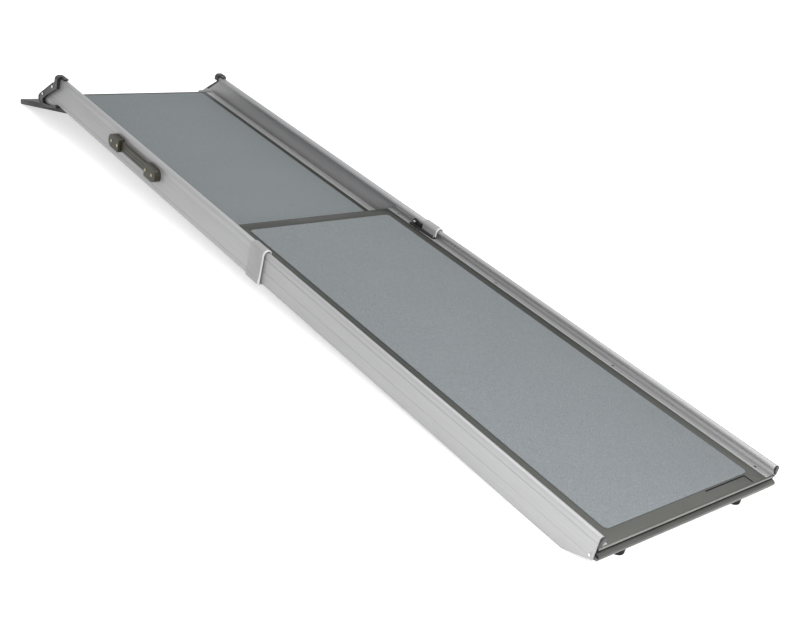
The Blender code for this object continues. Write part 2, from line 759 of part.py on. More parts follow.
def make_bumper(parent, screw_holes):
    half = LOWER_HALF - BUMPER_INSET
    bar = extruded([bumper_bar_loop()], "YZ", -half, half)
    bumper = piece("low_end_bumper", bar, "deck_plastic", parent)
    ends = rounded_rectangle(-half, half, -BUMPER_BOTTOM, BUMPER_END_RADIUS, BUMPER_END_RADIUS)
    combine(bumper, tool("bumper_ends", extruded([ends], "XZ", -PAST, PAST), parent), "INTERSECT")
    seat = extruded([bumper_seat_loop()], "YZ", -FLANGE_HALF, FLANGE_HALF)
    combine(bumper, tool("bumper_seat", seat, parent), "UNION")
    inner = FOOT_INNER - SEAT_GAP
    outer = LOWER_HALF - LOWER_WALL - SEAT_GAP
    front = -SEAT_GAP - INSIDE
    lugs = boxes(
        [
            ((-outer, front, -LUG_BOTTOM), (-inner, LUG_LENGTH, -LUG_TOP)),
            ((inner, front, -LUG_BOTTOM), (outer, LUG_LENGTH, -LUG_TOP)),
        ]
    )
    combine(bumper, tool("bumper_lugs", lugs, parent), "UNION")
    combine(bumper, screw_holes)
    profile = screw_profile(BUMPER_SCREW_HEAD, BUMPER_SCREW_HEAD_HEIGHT, SCREW_SHANK, BUMPER_SCREW_LENGTH)
    for name, place in zip(("left", "right"), bumper_screw_places()):
        turn = math.copysign(math.pi / 2, place[0])
        turned("bumper_screw_" + name, profile, "steel", parent, place, (0, turn, 0))


def make_feet(parent):
    """Round feet that stand upright on the floor, their tops cut to the flange's slope."""
    end = FLANGE_LENGTH + PAST
    above = [(-PAST, chamfer_z(-PAST) - SEAT_GAP), (end, chamfer_z(end) - SEAT_GAP), (end, PAST), (-PAST, PAST)]
    above = tool("foot_top_cut", extruded([above], "YZ", -LOWER_HALF, LOWER_HALF), parent)
    tilt = ramp_tilt()
    seat = Vector((0, FOOT_ALONG, floor_z(FOOT_ALONG)))
    for side, name in ((-1, "left"), (1, "right")):
        blank = rods(FOOT_RADIUS, FOOT_BLANK, "Z", [(0, 0, FOOT_BLANK / 2)], FOOT_SIDES)
        foot = piece("rubber_foot_" + name, blank, "rubber", parent)
        foot.location = seat + Vector((side * FOOT_X, 0, 0))
        foot.rotation_euler = (-tilt, 0, 0)
        soften(foot, FOOT_EDGE, 3, 60)
        combine(foot, above)


def make_plugs(parent):
    outline = arc(BEAD_X, BEAD_Z, BEAD_RADIUS - PLUG_INSET, 0, PLUG_WRAP, 12)
    outline += [(LOWER_HALF - PLUG_TAIL_WIDTH, PLUG_TAIL_Z), (LOWER_HALF - PLUG_INSET, PLUG_TAIL_Z)]
    right = extruded([outline], "XZ", -PLUG_LENGTH - SEAT_GAP, -SEAT_GAP)
    for side, mesh in ((-1, mirrored(right)), (1, right)):
        name = "left" if side < 0 else "right"
        plug = piece("rail_end_plug_" + name, mesh, "black_plastic", parent, (side * BEAD_X, 0, BEAD_Z))
        soften(plug, PLUG_EDGE)
        stem = rods(BEAD_BORE - SEAT_GAP, PLUG_STEM, "Y", [(side * BEAD_X, PLUG_STEM / 2 - INSIDE, BEAD_Z)])
        combine(plug, tool("plug_stem_" + name, stem, parent), "UNION")


def make_glides(parent):
    low = LOWER_BOTTOM + LOWER_WALL + SEAT_GAP
    near = FOOT_INNER - GLIDE_OVERHANG
    far = LOWER_HALF - LOWER_WALL - SEAT_GAP
    end = LOWER_LENGTH - GLIDE_FROM_END
    right = boxes([((near, end - GLIDE_LENGTH, low), (far, end, low + GUIDE_HEIGHT))])
    for name, mesh in (("left", mirrored(right)), ("right", right)):
        piece("glide_block_" + name, mesh, "black_plastic", parent)


def make_lower_section(parent):
    holes = [(x, y, -PLATE / 2) for x, y in rivet_places()]
    rivet_holes = rods(RIVET_SHANK + SEAT_GAP, RIVET_HOLE_LENGTH, "Z", holes, 10)
    rivet_holes = tool("rivet_holes", rivet_holes, parent)
    screw_holes = rods(SCREW_SHANK + SEAT_GAP, BUMPER_SCREW_HOLE, "X", bumper_screw_places())
    screw_holes = tool("bumper_screw_holes", screw_holes, parent)
    seats = [(x, y, 0) for x, y in rivet_places()]
    seat_depth = RIVET_SINK + RIVET_HEAD_HEIGHT + SEAT_GAP
    rivet_seats = rods(RIVET_HEAD + SEAT_GAP, 2 * seat_depth, "Z", seats, RIVET_SEAT_SIDES)
    rivet_seats = tool("rivet_seats", rivet_seats, parent)
    make_lower_rails(parent, rivet_holes, rivet_seats, screw_holes)
    make_lower_deck(parent, rivet_holes)
    make_deck_rivets(parent)
    make_bumper(parent, screw_holes)
    make_feet(parent)
    make_plugs(parent)
    make_glides(parent)


# Upper section

def make_upper_rails(parent):
    reach = UPPER_HALF + ROOM
    deep = UPPER_BOTTOM - PAST
    far = slant_y(deep) + PAST
    top = BEAD_Z + HOOK_OUTER + PAST
    slant = [(UPPER_END, top), (UPPER_END, SLANT_START_Z), (slant_y(deep), deep), (far, deep), (far, top)]
    end_cut = tool("top_end_cut", extruded([slant], "YZ", -reach, reach), parent)
    deck_end = UPPER_END + UPPER_DECK_REACH
    edge = CHANNEL_WALL_IN - LEDGE_STUB
    low = KEEPER_TOP - UPPER_WALL - INSIDE
    high = UPPER_LEDGE_Z + INSIDE
    ledge_cut = tool("ledge_end_cut", boxes([((-edge, deck_end, low), (edge, far, high))]), parent)
    right = extruded(upper_rail_loops(), "XZ", UPPER_START, slant_y(UPPER_BOTTOM) + INSIDE)
    for side, mesh in ((-1, mirrored(right)), (1, right)):
        name = "left" if side < 0 else "right"
        rail = piece("upper_rail_" + name, mesh, "rail_aluminium", parent, (side * UPPER_HALF, UPPER_START, 0))
        combine(rail, end_cut)
        combine(rail, ledge_cut)


def make_upper_deck(parent):
    start = UPPER_START + UPPER_DECK_SETBACK
    end = UPPER_END + UPPER_DECK_REACH
    half = UPPER_LEDGE_INNER - SEAT_GAP
    flange_half = CHANNEL_WALL_IN - 2 * SEAT_GAP
    flange_top = UPPER_LEDGE_Z - UPPER_WALL - SEAT_GAP
    ribs_start = start + RIB_MARGIN
    panel = deck(
        "upper_deck", parent, half, flange_half, UPPER_LEDGE_Z, flange_top, start, end, ribs_start, UPPER_RIB_DEPTH
    )
    mat_half = UPPER_LEDGE_INNER - UPPER_MAT_SIDE
    mat_end = end - UPPER_MAT_END_MARGIN
    mat("upper_grip_mat", parent, panel, mat_half, start + UPPER_MAT_MARGIN, mat_end, UPPER_LEDGE_Z)


def make_guides(parent):
    """Strips that the lower rails run on, and the stops that their glide blocks meet."""
    near = CHANNEL_INNER + SEAT_GAP
    web = BEAD_X + HOOK_INNER
    floor = CHANNEL_FLOOR + SEAT_GAP
    start = UPPER_START + STRIP_FROM_END
    strip = boxes([((near, start, floor), (web - SEAT_GAP, start + STRIP_LENGTH, floor + STRIP_THICKNESS))])
    stop_end = LOWER_LENGTH - GLIDE_FROM_END - GLIDE_LENGTH - RUNNING_GAP
    stop_low = LOWER_BOTTOM + LOWER_WALL + RUNNING_GAP
    stop_far = LOWER_HALF - LOWER_WALL - RUNNING_GAP
    stop = boxes([((near, stop_end - STOP_LENGTH, stop_low), (stop_far, stop_end, stop_low + GUIDE_HEIGHT))])
    for name, change in (("left", mirrored), ("right", lambda mesh: mesh.copy())):
        piece("slide_strip_" + name, change(strip), "black_plastic", parent)
        piece("travel_stop_" + name, change(stop), "black_plastic", parent)


def make_collars(parent):
    inner = HOOK_OUTER + SEAT_GAP
    outer = inner + COLLAR_WALL
    under = UPPER_BOTTOM - SEAT_GAP
    edge = UPPER_HALF - COLLAR_UNDER
    step = UPPER_HALF + SEAT_GAP + COLLAR_WALL + COLLAR_STEP
    outline = [(edge, under), (BEAD_X + inner, under)]
    outline += arc(BEAD_X, BEAD_Z, inner, 0, 180, 12)
    outline += [(BEAD_X - inner, COLLAR_SKIRT_Z), (BEAD_X - outer, COLLAR_SKIRT_Z)]
    outline += arc(BEAD_X, BEAD_Z, outer, 180, 0, 14)
    outline += [
        (BEAD_X + outer, COLLAR_STEP_Z),
        (step, COLLAR_STEP_Z - COLLAR_STEP),
        (step, under - COLLAR_WALL + COLLAR_STEP),
        (step - COLLAR_STEP, under - COLLAR_WALL),
        (edge, under - COLLAR_WALL),
    ]
    start = UPPER_START - COLLAR_OVERHANG
    right = extruded([outline], "XZ", start, start + COLLAR_LENGTH)
    for side, mesh in ((-1, mirrored(right)), (1, right)):
        name = "left" if side < 0 else "right"
        piece("collar_" + name, mesh, "collar_grey", parent, (side * UPPER_HALF, start, 0))


def make_top_lip(parent):
    back = UPPER_END - LIP_BACK
    slope = math.atan(LIP_SLOPE)
    turn = math.degrees(slope)
    centre = lip_tip_centre()
    tip = centre[0]
    outline = [(back, LIP_TOP_FLAT), (lip_bend_y(), LIP_TOP_FLAT)]
    outline += arc(*centre, LIP_TIP, 90 - turn, -90 - turn, 9)
    outline += [(back, lip_under_z(back))]
    lip = piece("top_lip", extruded([outline], "YZ", -UPPER_HALF, UPPER_HALF), "black_plastic", parent, (0, back, 0))
    riser_start = UPPER_END + UPPER_DECK_REACH + SEAT_GAP
    riser_half = CHANNEL_WALL_IN - 2 * SEAT_GAP
    riser_low = (-riser_half, riser_start, lip_top_z(riser_start) - 2 * INSIDE)
    riser_high = (riser_half, riser_start + RISER_THICKNESS, UPPER_LEDGE_Z - SEAT_GAP)
    combine(lip, tool("lip_riser", boxes([(riser_low, riser_high)]), parent), "UNION")
    pocket_start = back + POCKET_BACK
    pocket_end = tip - LIP_EDGE
    width = (2 * UPPER_HALF - POCKET_RIB) / POCKETS
    roof = POCKET_DEPTH / math.cos(slope)
    risen = pocket_start + POCKET_RISE
    side_view = [
        (pocket_start, lip_under_z(pocket_start) - PAST),
        (pocket_end, lip_under_z(pocket_end) - PAST),
        (pocket_end, lip_under_z(pocket_end) + roof),
        (risen, lip_under_z(risen) + roof),
        (pocket_start, lip_under_z(pocket_start) + roof * POCKET_BACK_SHARE),
    ]
    for i in range(POCKETS):
        left = -UPPER_HALF + POCKET_RIB + i * width
        pocket = extruded([side_view], "YZ", left, left + width - POCKET_RIB)
        combine(lip, tool(f"lip_pocket_{i + 1}", pocket, parent))
    pad_y = tip - PAD_FROM_TIP
    normal = Vector((0, math.sin(slope), math.cos(slope)))
    seat = Vector((0, pad_y, lip_under_z(pad_y)))
    half = Vector(PAD_SIZE) / 2
    for side, name in ((-1, "left"), (1, "right")):
        pad = piece("lip_pad_" + name, boxes([(-half, half)]), "rubber", parent)
        pad.location = seat - normal * (half.z + SEAT_GAP) + Vector((side * (UPPER_HALF - PAD_INSET), 0, 0))
        pad.rotation_euler = (-slope, 0, 0)


def make_end_brackets(parent):
    """Between each upper rail and the lip, under the rail's slanted end."""
    start = lip_bend_y() + BRACKET_FROM_BEND
    end = UPPER_END + BRACKET_END
    top = UPPER_BOTTOM - SEAT_GAP
    outline = [
        (start, top),
        (end - BRACKET_CORNER, top),
        (end, top - BRACKET_CORNER),
        (end, lip_top_z(end) + SEAT_GAP),
        (start, lip_top_z(start) + SEAT_GAP),
    ]
    right = extruded([outline], "YZ", UPPER_HALF - BRACKET_WIDTH, UPPER_HALF)
    for side, mesh in ((-1, mirrored(right)), (1, right)):
        name = "left" if side < 0 else "right"
        piece("end_bracket_" + name, mesh, "rail_aluminium", parent, (side * UPPER_HALF, start, top))


def hook_loop():
    """The loop over the hook, seen along the rail: it leaves the lower rail's bead its way through."""
    inside = HOOK_OUTER + SEAT_GAP
    left = BEAD_X - inside - LOOP_WALL
    right = UPPER_HALF + SEAT_GAP + CAP_THICKNESS
    corner = LOOP_CORNER
    outline = [(right, LOOP_SKIRT_Z)]
    outline += arc(right - corner, LOOP_TOP - corner, corner, 0, 90, 4)
    outline += arc(left + corner, LOOP_TOP - corner, corner, 90, 180, 4)
    outline += [(left, LOOP_SKIRT_Z), (BEAD_X - inside, LOOP_SKIRT_Z)]
    outline += arc(BEAD_X, BEAD_Z, inside, 180, 0, 12)
    outline += [(BEAD_X + inside, LOOP_SKIRT_Z)]
    return outline


def make_end_caps(parent):
    face = UPPER_HALF + SEAT_GAP
    outer = face + CAP_THICKNESS
    band = extruded([[(UPPER_END + along, z) for along, z in CAP_OUTLINE]], "YZ", face, outer)
    loop_start = UPPER_END - LOOP_BACK
    loop = extruded([hook_loop()], "XZ", loop_start, UPPER_END + LOOP_FRONT)
    tongue_low = (BEAD_X - TONGUE_HALF, loop_start - TONGUE_LENGTH, BEAD_Z + HOOK_OUTER + SEAT_GAP)
    tongue_high = (BEAD_X + TONGUE_HALF, loop_start + INSIDE, TONGUE_TOP)
    tongue = boxes([(tongue_low, tongue_high)])
    places = [(UPPER_END + along, z) for along, z in (CAP_SCREW_UPPER, CAP_SCREW_LOWER)]
    holes = rods(SCREW_SHANK + SEAT_GAP, 2 * PAST, "X", [(outer, y, z) for y, z in places])
    screw = screw_profile(SCREW_HEAD, SCREW_HEAD_HEIGHT, SCREW_SHANK, CAP_THICKNESS - SEAT_GAP)
    for side, name, change in ((-1, "left", mirrored), (1, "right", lambda mesh: mesh.copy())):
        cap = piece("end_cap_" + name, change(band), "black_plastic", parent, (side * UPPER_HALF, UPPER_END, 0))
        combine(cap, tool("cap_loop_" + name, change(loop), parent), "UNION")
        combine(cap, tool("cap_tongue_" + name, change(tongue), parent), "UNION")
        combine(cap, tool("cap_holes_" + name, change(holes), parent))
        for level, (y, z) in zip(("upper", "lower"), places):
            turned(
                f"cap_screw_{name}_{level}", screw, "steel", parent, (side * outer, y, z), (0, side * math.pi / 2, 0)
            )


def handle_boss_loop(end, direction):
    """A boss seen from the side: round at its outer end, square towards the strap."""
    centre = end - direction * BOSS_RADIUS
    inner = end - direction * BOSS_LENGTH
    points = arc(0, HANDLE_Z, BOSS_RADIUS, -90, 90, 12)
    points = [(centre + direction * y, z) for y, z in points]
    return points + [(inner, HANDLE_Z + BOSS_RADIUS), (inner, HANDLE_Z - BOSS_RADIUS)]


def strap_loop():
    """The strap seen along the rail, on the left side, with its ribs outwards."""
    inner = -UPPER_HALF - STRAP_STANDS_OFF
    outer = inner - STRAP_THICKNESS
    low = HANDLE_Z - STRAP_WIDTH / 2
    pitch = STRAP_WIDTH / STRAP_RIBS
    outline = [(inner, low + STRAP_WIDTH), (inner, low), (outer, low)]
    for i in range(STRAP_RIBS):
        bottom = low + pitch * (i + 0.5) - STRAP_RIB_WIDTH / 2
        top = bottom + STRAP_RIB_WIDTH
        outline += [(outer, bottom), (outer - STRAP_RIB_HEIGHT, bottom)]
        outline += [(outer - STRAP_RIB_HEIGHT, top), (outer, top)]
    return outline + [(outer, low + STRAP_WIDTH)]


def make_handle(parent):
    middle = UPPER_START + HANDLE_CENTRE
    low = middle - HANDLE_LENGTH / 2
    high = middle + HANDLE_LENGTH / 2
    face = -UPPER_HALF - SEAT_GAP
    outer = face - BOSS_THICKNESS
    strap_start = low + BOSS_LENGTH - STRAP_ENTRY
    strap_end = high - BOSS_LENGTH + STRAP_ENTRY
    strap = extruded([strap_loop()], "XZ", strap_start, strap_end)
    strap = piece("handle_strap", strap, "handle_plastic", parent, (face, middle, HANDLE_Z))
    strap_in = -UPPER_HALF - STRAP_STANDS_OFF + SEAT_GAP
    strap_out = strap_in - STRAP_THICKNESS - STRAP_RIB_HEIGHT - 2 * SEAT_GAP
    slot_half = STRAP_WIDTH / 2 + SEAT_GAP
    slot_low = (strap_out, strap_start - SEAT_GAP, HANDLE_Z - slot_half)
    slot_high = (strap_in, strap_end + SEAT_GAP, HANDLE_Z + slot_half)
    slot = tool("handle_strap_slot", boxes([(slot_low, slot_high)]), parent)
    screw = screw_profile(SCREW_HEAD, SCREW_HEAD_HEIGHT, SCREW_SHANK, BOSS_THICKNESS - SEAT_GAP)
    for name, end, direction in (("lower", low, -1), ("upper", high, 1)):
        outline = handle_boss_loop(end, direction)
        mesh = extruded([outline], "YZ", outer, face)
        boss = piece("handle_boss_" + name, mesh, "handle_plastic", parent, (face, end, HANDLE_Z))
        soften(boss, BOSS_EDGE, 3)
        combine(boss, slot)
        places = [(outer, end - direction * inset, HANDLE_Z) for inset in HANDLE_SCREWS]
        holes = rods(SCREW_SHANK + SEAT_GAP, 2 * PAST, "X", places)
        holes = tool("handle_screw_holes_" + name, holes, parent)
        combine(boss, holes)
        combine(strap, holes)
        for number, place in enumerate(places, 1):
            turned(f"handle_screw_{name}_{number}", screw, "steel", parent, place, (0, -math.pi / 2, 0))


# Latch on the right rail

def lever_loop(pivot_y):
    """A thumb lever: a round head on the pin, and an arm whose pawl reaches down to the ledge."""
    tip = pivot_y - LEVER_ARM
    outline = arc(pivot_y, LATCH_Z, LEVER_RADIUS, -110, 125, 14)
    slant_run, slant_rise = PAWL_SLANT
    outline += [
        (tip + LEVER_TIP_CORNER, LATCH_Z + LEVER_TIP),
        (tip, LATCH_Z + LEVER_TIP - LEVER_TIP_CORNER),
        (tip, PAWL_LIFT),
        (tip + PAWL_LENGTH, PAWL_LIFT),
        (tip + PAWL_LENGTH + slant_run, PAWL_LIFT + slant_rise),
    ]
    return outline


def make_latch(parent):
    pivot_y = UPPER_START + LATCH_Y
    inner = LEVER_X
    outer = LEVER_X + LEVER_THICKNESS
    axis = holder("latch_axis", parent, (inner, pivot_y, LATCH_Z))
    lever = extruded([lever_loop(pivot_y)], "YZ", inner, outer)
    lever = piece("latch_lever", lever, "black_plastic", axis, (inner, pivot_y, LATCH_Z))
    plate_in = outer + SEAT_GAP
    plate_out = plate_in + BRACKET_PLATE
    under_hook = BEAD_Z - HOOK_OUTER * math.sin(math.radians(HOOK_WRAP - 180)) - SEAT_GAP
    back = UPPER_START - COLLAR_OVERHANG + COLLAR_LENGTH + ROOM
    front = pivot_y + LEVER_RADIUS + BRACKET_PAST_LEVER
    plate = rounded_rectangle(back, front, BRACKET_LOW_Z, under_hook, BRACKET_PLATE_CORNER, 3)
    plate = piece("latch_bracket", extruded([plate], "YZ", plate_in, plate_out), "black_plastic", parent)
    hole = rods(PIN_RADIUS + SEAT_GAP, PAST, "X", [(outer, pivot_y, LATCH_Z)])
    hole = tool("latch_pin_hole", hole, parent)
    combine(lever, hole)
    combine(plate, hole)
    head_seat = inner - SPRING_LENGTH - SEAT_GAP
    pin = screw_profile(PIN_HEAD, PIN_HEAD_HEIGHT, PIN_RADIUS, plate_out - head_seat)
    turned("latch_pin", pin, "steel", parent, (head_seat, pivot_y, LATCH_Z), (0, -math.pi / 2, 0))
    make_latch_spring(parent, Vector((inner - SEAT_GAP, pivot_y, LATCH_Z)))


def make_latch_spring(parent, end):
    """A torsion spring round the pin, wound from the lever towards the pin's head."""
    steps = int(SPRING_TURNS * SPRING_POINTS)
    run = SPRING_LENGTH - SPRING_WIRE - SEAT_GAP
    points = []
    for i in range(steps + 1):
        angle = 2 * math.pi * SPRING_TURNS * i / steps
        out = -SPRING_WIRE / 2 - run * i / steps
        points.append((out, SPRING_RADIUS * math.cos(angle), SPRING_RADIUS * math.sin(angle)))
    gap = run / SPRING_TURNS - SPRING_WIRE
    print("latch spring: least gap between turns", round(gap * 1000, 2), "mm")
    wire = bpy.data.curves.new("latch_spring", "CURVE")
    wire.dimensions = "3D"
    wire.bevel_depth = SPRING_WIRE / 2
    wire.bevel_resolution = 1
    wire.use_fill_caps = True
    spline = wire.splines.new("POLY")
    spline.points.add(len(points) - 1)
    for point, place in zip(spline.points, points):
        point.co = (*place, 1)
    spring = bpy.data.objects.new("latch_spring", wire)
    wire.materials.append(material("steel"))
    spring.parent = parent
    spring.location = end - Vector(parent["origin"])
    PARTS.objects.link(spring)


def make_upper_section(parent):
    make_upper_rails(parent)
    make_upper_deck(parent)
    make_guides(parent)
    make_collars(parent)
    make_end_brackets(parent)
    make_end_caps(parent)
    make_handle(parent)
    make_latch(parent)
    make_top_lip(parent)


def stand_on_floor(frame):
    """Tip the ramp onto the low corners of its rails and its lip, and centre it on the origin."""
    frame.rotation_euler = (ramp_tilt(), 0, 0)
    bpy.context.view_layer.update()
    depsgraph = bpy.context.evaluated_depsgraph_get()
    points = []
    for thing in PARTS.objects:
        if thing.type not in {"MESH", "CURVE"}:
            continue
        seen = thing.evaluated_get(depsgraph)
        mesh = seen.to_mesh()
        points += [seen.matrix_world @ corner.co for corner in mesh.vertices]
        seen.to_mesh_clear()
    low = Vector(min(point[i] for point in points) for i in range(3))
    high = Vector(max(point[i] for point in points) for i in range(3))
    frame.location = (-(low.x + high.x) / 2, -(low.y + high.y) / 2, -low.z)


clear_scene()
PARTS = new_collection("telescoping_dog_ramp")
CUTTERS = new_collection("cutters")
ramp = holder("ramp_frame")
lower_section = holder("lower_section", ramp)
upper_section = holder("upper_section", ramp)
make_lower_section(lower_section)
make_upper_section(upper_section)
stand_on_floor(ramp)
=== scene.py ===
"""Looks of the telescoping dog ramp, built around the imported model.

Pieces are drawn on the ramp's own axes, in metres: X across, Y up the ramp from the low ends of the lower
rails, Z square to the deck, from the lower deck's top. RAMP carries them to where the ramp stands.
"""

import math

import bmesh
import bpy
from mathutils import Matrix, Vector


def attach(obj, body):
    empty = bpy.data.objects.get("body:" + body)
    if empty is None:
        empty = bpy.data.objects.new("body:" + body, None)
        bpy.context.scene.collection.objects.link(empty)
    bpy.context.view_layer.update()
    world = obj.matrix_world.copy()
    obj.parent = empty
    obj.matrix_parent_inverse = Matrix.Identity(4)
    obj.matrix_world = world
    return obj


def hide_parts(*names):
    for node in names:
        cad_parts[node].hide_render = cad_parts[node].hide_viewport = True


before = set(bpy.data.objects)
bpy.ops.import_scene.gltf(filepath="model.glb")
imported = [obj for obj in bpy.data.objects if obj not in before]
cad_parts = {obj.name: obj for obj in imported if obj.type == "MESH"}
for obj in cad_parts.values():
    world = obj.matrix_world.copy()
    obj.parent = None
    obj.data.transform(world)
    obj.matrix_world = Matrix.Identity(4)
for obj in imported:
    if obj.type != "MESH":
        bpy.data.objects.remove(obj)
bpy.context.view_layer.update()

# Where the ramp stands
TILT = 2.40248              # degrees that the ramp rises
PLACE = Vector((0.00315, -0.958098, 0.039442))
RAMP = Matrix.Translation(PLACE) @ Matrix.Rotation(math.radians(TILT), 4, "X")

# Camera, at the photograph's viewing angle
CAMERA_AT = (-1.31241, -1.62438, 0.91313)
CAMERA_TURN = (64.0056, -10.9337, -38.7201)
CAMERA_LENS = 51.2303

# Sizes that the pieces share with the solids
SEAT_GAP = 0.0003
UPPER_HALF = 0.216
UPPER_WALL = 0.0016
LOWER_WALL = 0.0018
LOWER_HALF = 0.2139
BEAD_RADIUS = 0.0052
BEAD_BORE = 0.0036
BEAD_X = LOWER_HALF - BEAD_RADIUS
BEAD_Z = 0.0134
LEDGE_FILLET = 0.0070
LEDGE_INNER = 0.1912
LOWER_BOTTOM = -0.0417
LOWER_GROOVE_Z = -0.0178
LOWER_LENGTH = 0.981
FOOT_INNER = 0.204
CHAMFER_DEPTH = 0.0215
CHAMFER_LENGTH = 0.053
UPPER_START = 0.835
UPPER_END = 1.718
UPPER_GROOVE_Z = -0.0345
HOOK_INNER = 0.0057
HOOK_OUTER = 0.0073
HOOK_WRAP = 200
UPPER_BOTTOM = -0.0448
CHANNEL_FLOOR = -0.0432
CHANNEL_INNER = 0.2032
CHANNEL_WALL_IN = 0.2016
UPPER_LEDGE_Z = -0.027
UPPER_LEDGE_INNER = 0.184
KEEPER_TOP = -0.0311
KEEPER_REACH = 0.0056
SLANT_START_Z = 0.008
SLANT_RUN = 1.203
DECK_REACH = 0.010
GROOVE_WIDTH = 0.0014
GROOVE_DEPTH = 0.0006
BEAD_GROOVE_WIDTH = 0.0022
BEAD_GROOVE_DEPTH = 0.0009
PROFILE_CORNER = 0.0005
HOLE_RADIUS = 0.0016
MAT_HALF = 0.170
LOWER_MAT = (0.0227, 0.9545, 0.0008)        # start, end and top
UPPER_MAT = (0.885, 1.724, -0.0262)

# Cutting shapes
OVERCUT = 0.001             # how far they reach past the face they cut
CUT_HALF = 0.22             # half the width of those that run across the ramp

# Wear, and painted sheen
PAINTED_SHEEN_FROM = 0.45          # the deck's plastic is painted paler from here to the low end, a painted sheen standing in for the front light
SCUFF_GAIN = 1.5
SCUFF_LIFT = 0.03

# How a flat outline's own axes lie on the ramp's, and which way it is made thick
PLANES = {
    "XY": Matrix(((1, 0, 0), (0, 1, 0), (0, 0, 1))),
    "XZ": Matrix(((1, 0, 0), (0, 0, -1), (0, 1, 0))),
    "YZ": Matrix(((0, 0, 1), (1, 0, 0), (0, 1, 0))),
}
NORMALS = {"XY": Vector((0, 0, 1)), "XZ": Vector((0, 1, 0)), "YZ": Vector((1, 0, 0))}


# Materials

class Surface:
    """A Principled material and a few ways to vary it."""

    def __init__(self, name, colour, roughness, metallic=0.0, **sockets):
        self.material = bpy.data.materials.new(name)
        self.material.use_nodes = True
        self.tree = self.material.node_tree
        self.shader = self.tree.nodes["Principled BSDF"]
        self.shader.inputs["Metallic"].default_value = metallic
        self.shader.inputs["Roughness"].default_value = roughness
        self.shader.inputs["Base Color"].default_value = (*colour, 1)
        for socket, value in sockets.items():
            self.shader.inputs[socket.replace("_", " ")].default_value = value
        self.place = self.node("ShaderNodeTexCoord").outputs["Object"]

    def node(self, kind, **inputs):
        made = self.tree.nodes.new(kind)
        for name, value in inputs.items():
            socket = made.inputs[name.replace("_", " ")]
            if isinstance(value, bpy.types.NodeSocket):
                self.tree.links.new(value, socket)
            else:
                socket.default_value = value
        return made

    def noise(self, scale, stretch=(1, 1, 1), detail=2.0, seed=0.0, roughness=0.5):
        shift = (seed, seed * 0.7, seed * 0.3)
        moved = self.node("ShaderNodeMapping", Vector=self.place, Scale=stretch, Location=shift)
        place = moved.outputs["Vector"]
        made = self.node("ShaderNodeTexNoise", Vector=place, Scale=scale, Detail=detail, Roughness=roughness)
        return made.outputs["Fac"]

    def ranged(self, value, low, high, to_low, to_high):
        made = self.node(
            "ShaderNodeMapRange", Value=value, From_Min=low, From_Max=high, To_Min=to_low, To_Max=to_high
        )
        return made.outputs["Result"]

    def mix(self, amount, first, second):
        made = self.tree.nodes.new("ShaderNodeMix")
        made.data_type = "RGBA"
        factor, a_colour, b_colour = (made.inputs[i] for i in (0, 6, 7))
        for socket, value in ((factor, amount), (a_colour, first), (b_colour, second)):
            if isinstance(value, bpy.types.NodeSocket):
                self.tree.links.new(value, socket)
            elif isinstance(value, (int, float)):
                socket.default_value = value
            else:
                socket.default_value = (*value, 1)
        return made.outputs[2]

    def paint(self, colour):
        self.tree.links.new(colour, self.shader.inputs["Base Color"])

    def rough(self, value):
        self.tree.links.new(value, self.shader.inputs["Roughness"])

    def bump(self, height, strength, distance):
        made = self.node("ShaderNodeBump", Height=height, Strength=strength, Distance=distance)
        self.tree.links.new(made.outputs["Normal"], self.shader.inputs["Normal"])


def times(colour, factor, lift=0.0):
    """The colour made lighter or darker, and never more than white."""
    return [min(1, c * factor + lift) for c in colour]


def aluminium(name, colour, roughness):
    """Satin anodised extrusion: fine lines along the rail, and faint cloudiness from handling."""
    made = Surface(name, colour, roughness, metallic=0.35)
    lines = made.noise(1400, stretch=(1, 0.008, 1), detail=3.0)
    clouds = made.noise(6, stretch=(1, 0.5, 1), detail=4.0, seed=3.0)
    base = made.mix(made.ranged(lines, 0.32, 0.68, 0, 1), times(colour, 0.93), times(colour, 1.05))
    made.paint(made.mix(made.ranged(clouds, 0.3, 0.7, 0.0, 0.10), base, times(colour, 0.8)))
    made.rough(made.ranged(clouds, 0.3, 0.7, roughness - 0.04, roughness + 0.06))
    made.bump(lines, 0.10, 0.0002)
    return made.material


PALE_GRAIN = (0.40, 0.42, 0.42)
DARK_GRAIN = (0.09, 0.10, 0.11)


def grit(name, colour):
    """Mineral grit on a rubbery sheet: sharp grains, with single light and dark ones among them."""
    made = Surface(name, colour, 0.9, Specular_IOR_Level=0.35)
    grains = made.noise(1150, detail=2.5, roughness=0.65)
    specks = made.noise(620, detail=1.0, seed=5.0, roughness=0.6)
    clouds = made.noise(9, detail=3.0, seed=2.0)
    base = made.mix(made.ranged(grains, 0.34, 0.66, 0, 1), times(colour, 0.74), times(colour, 1.27))
    base = made.mix(made.ranged(specks, 0.63, 0.70, 0, 0.5), base, PALE_GRAIN)
    base = made.mix(made.ranged(specks, 0.37, 0.30, 0, 0.55), base, DARK_GRAIN)
    made.paint(made.mix(made.ranged(clouds, 0.35, 0.65, 0, 0.10), base, times(colour, 0.8)))
    made.rough(made.ranged(grains, 0.3, 0.7, 0.95, 0.72))
    made.bump(grains, 0.55, 0.0006)
    return made.material


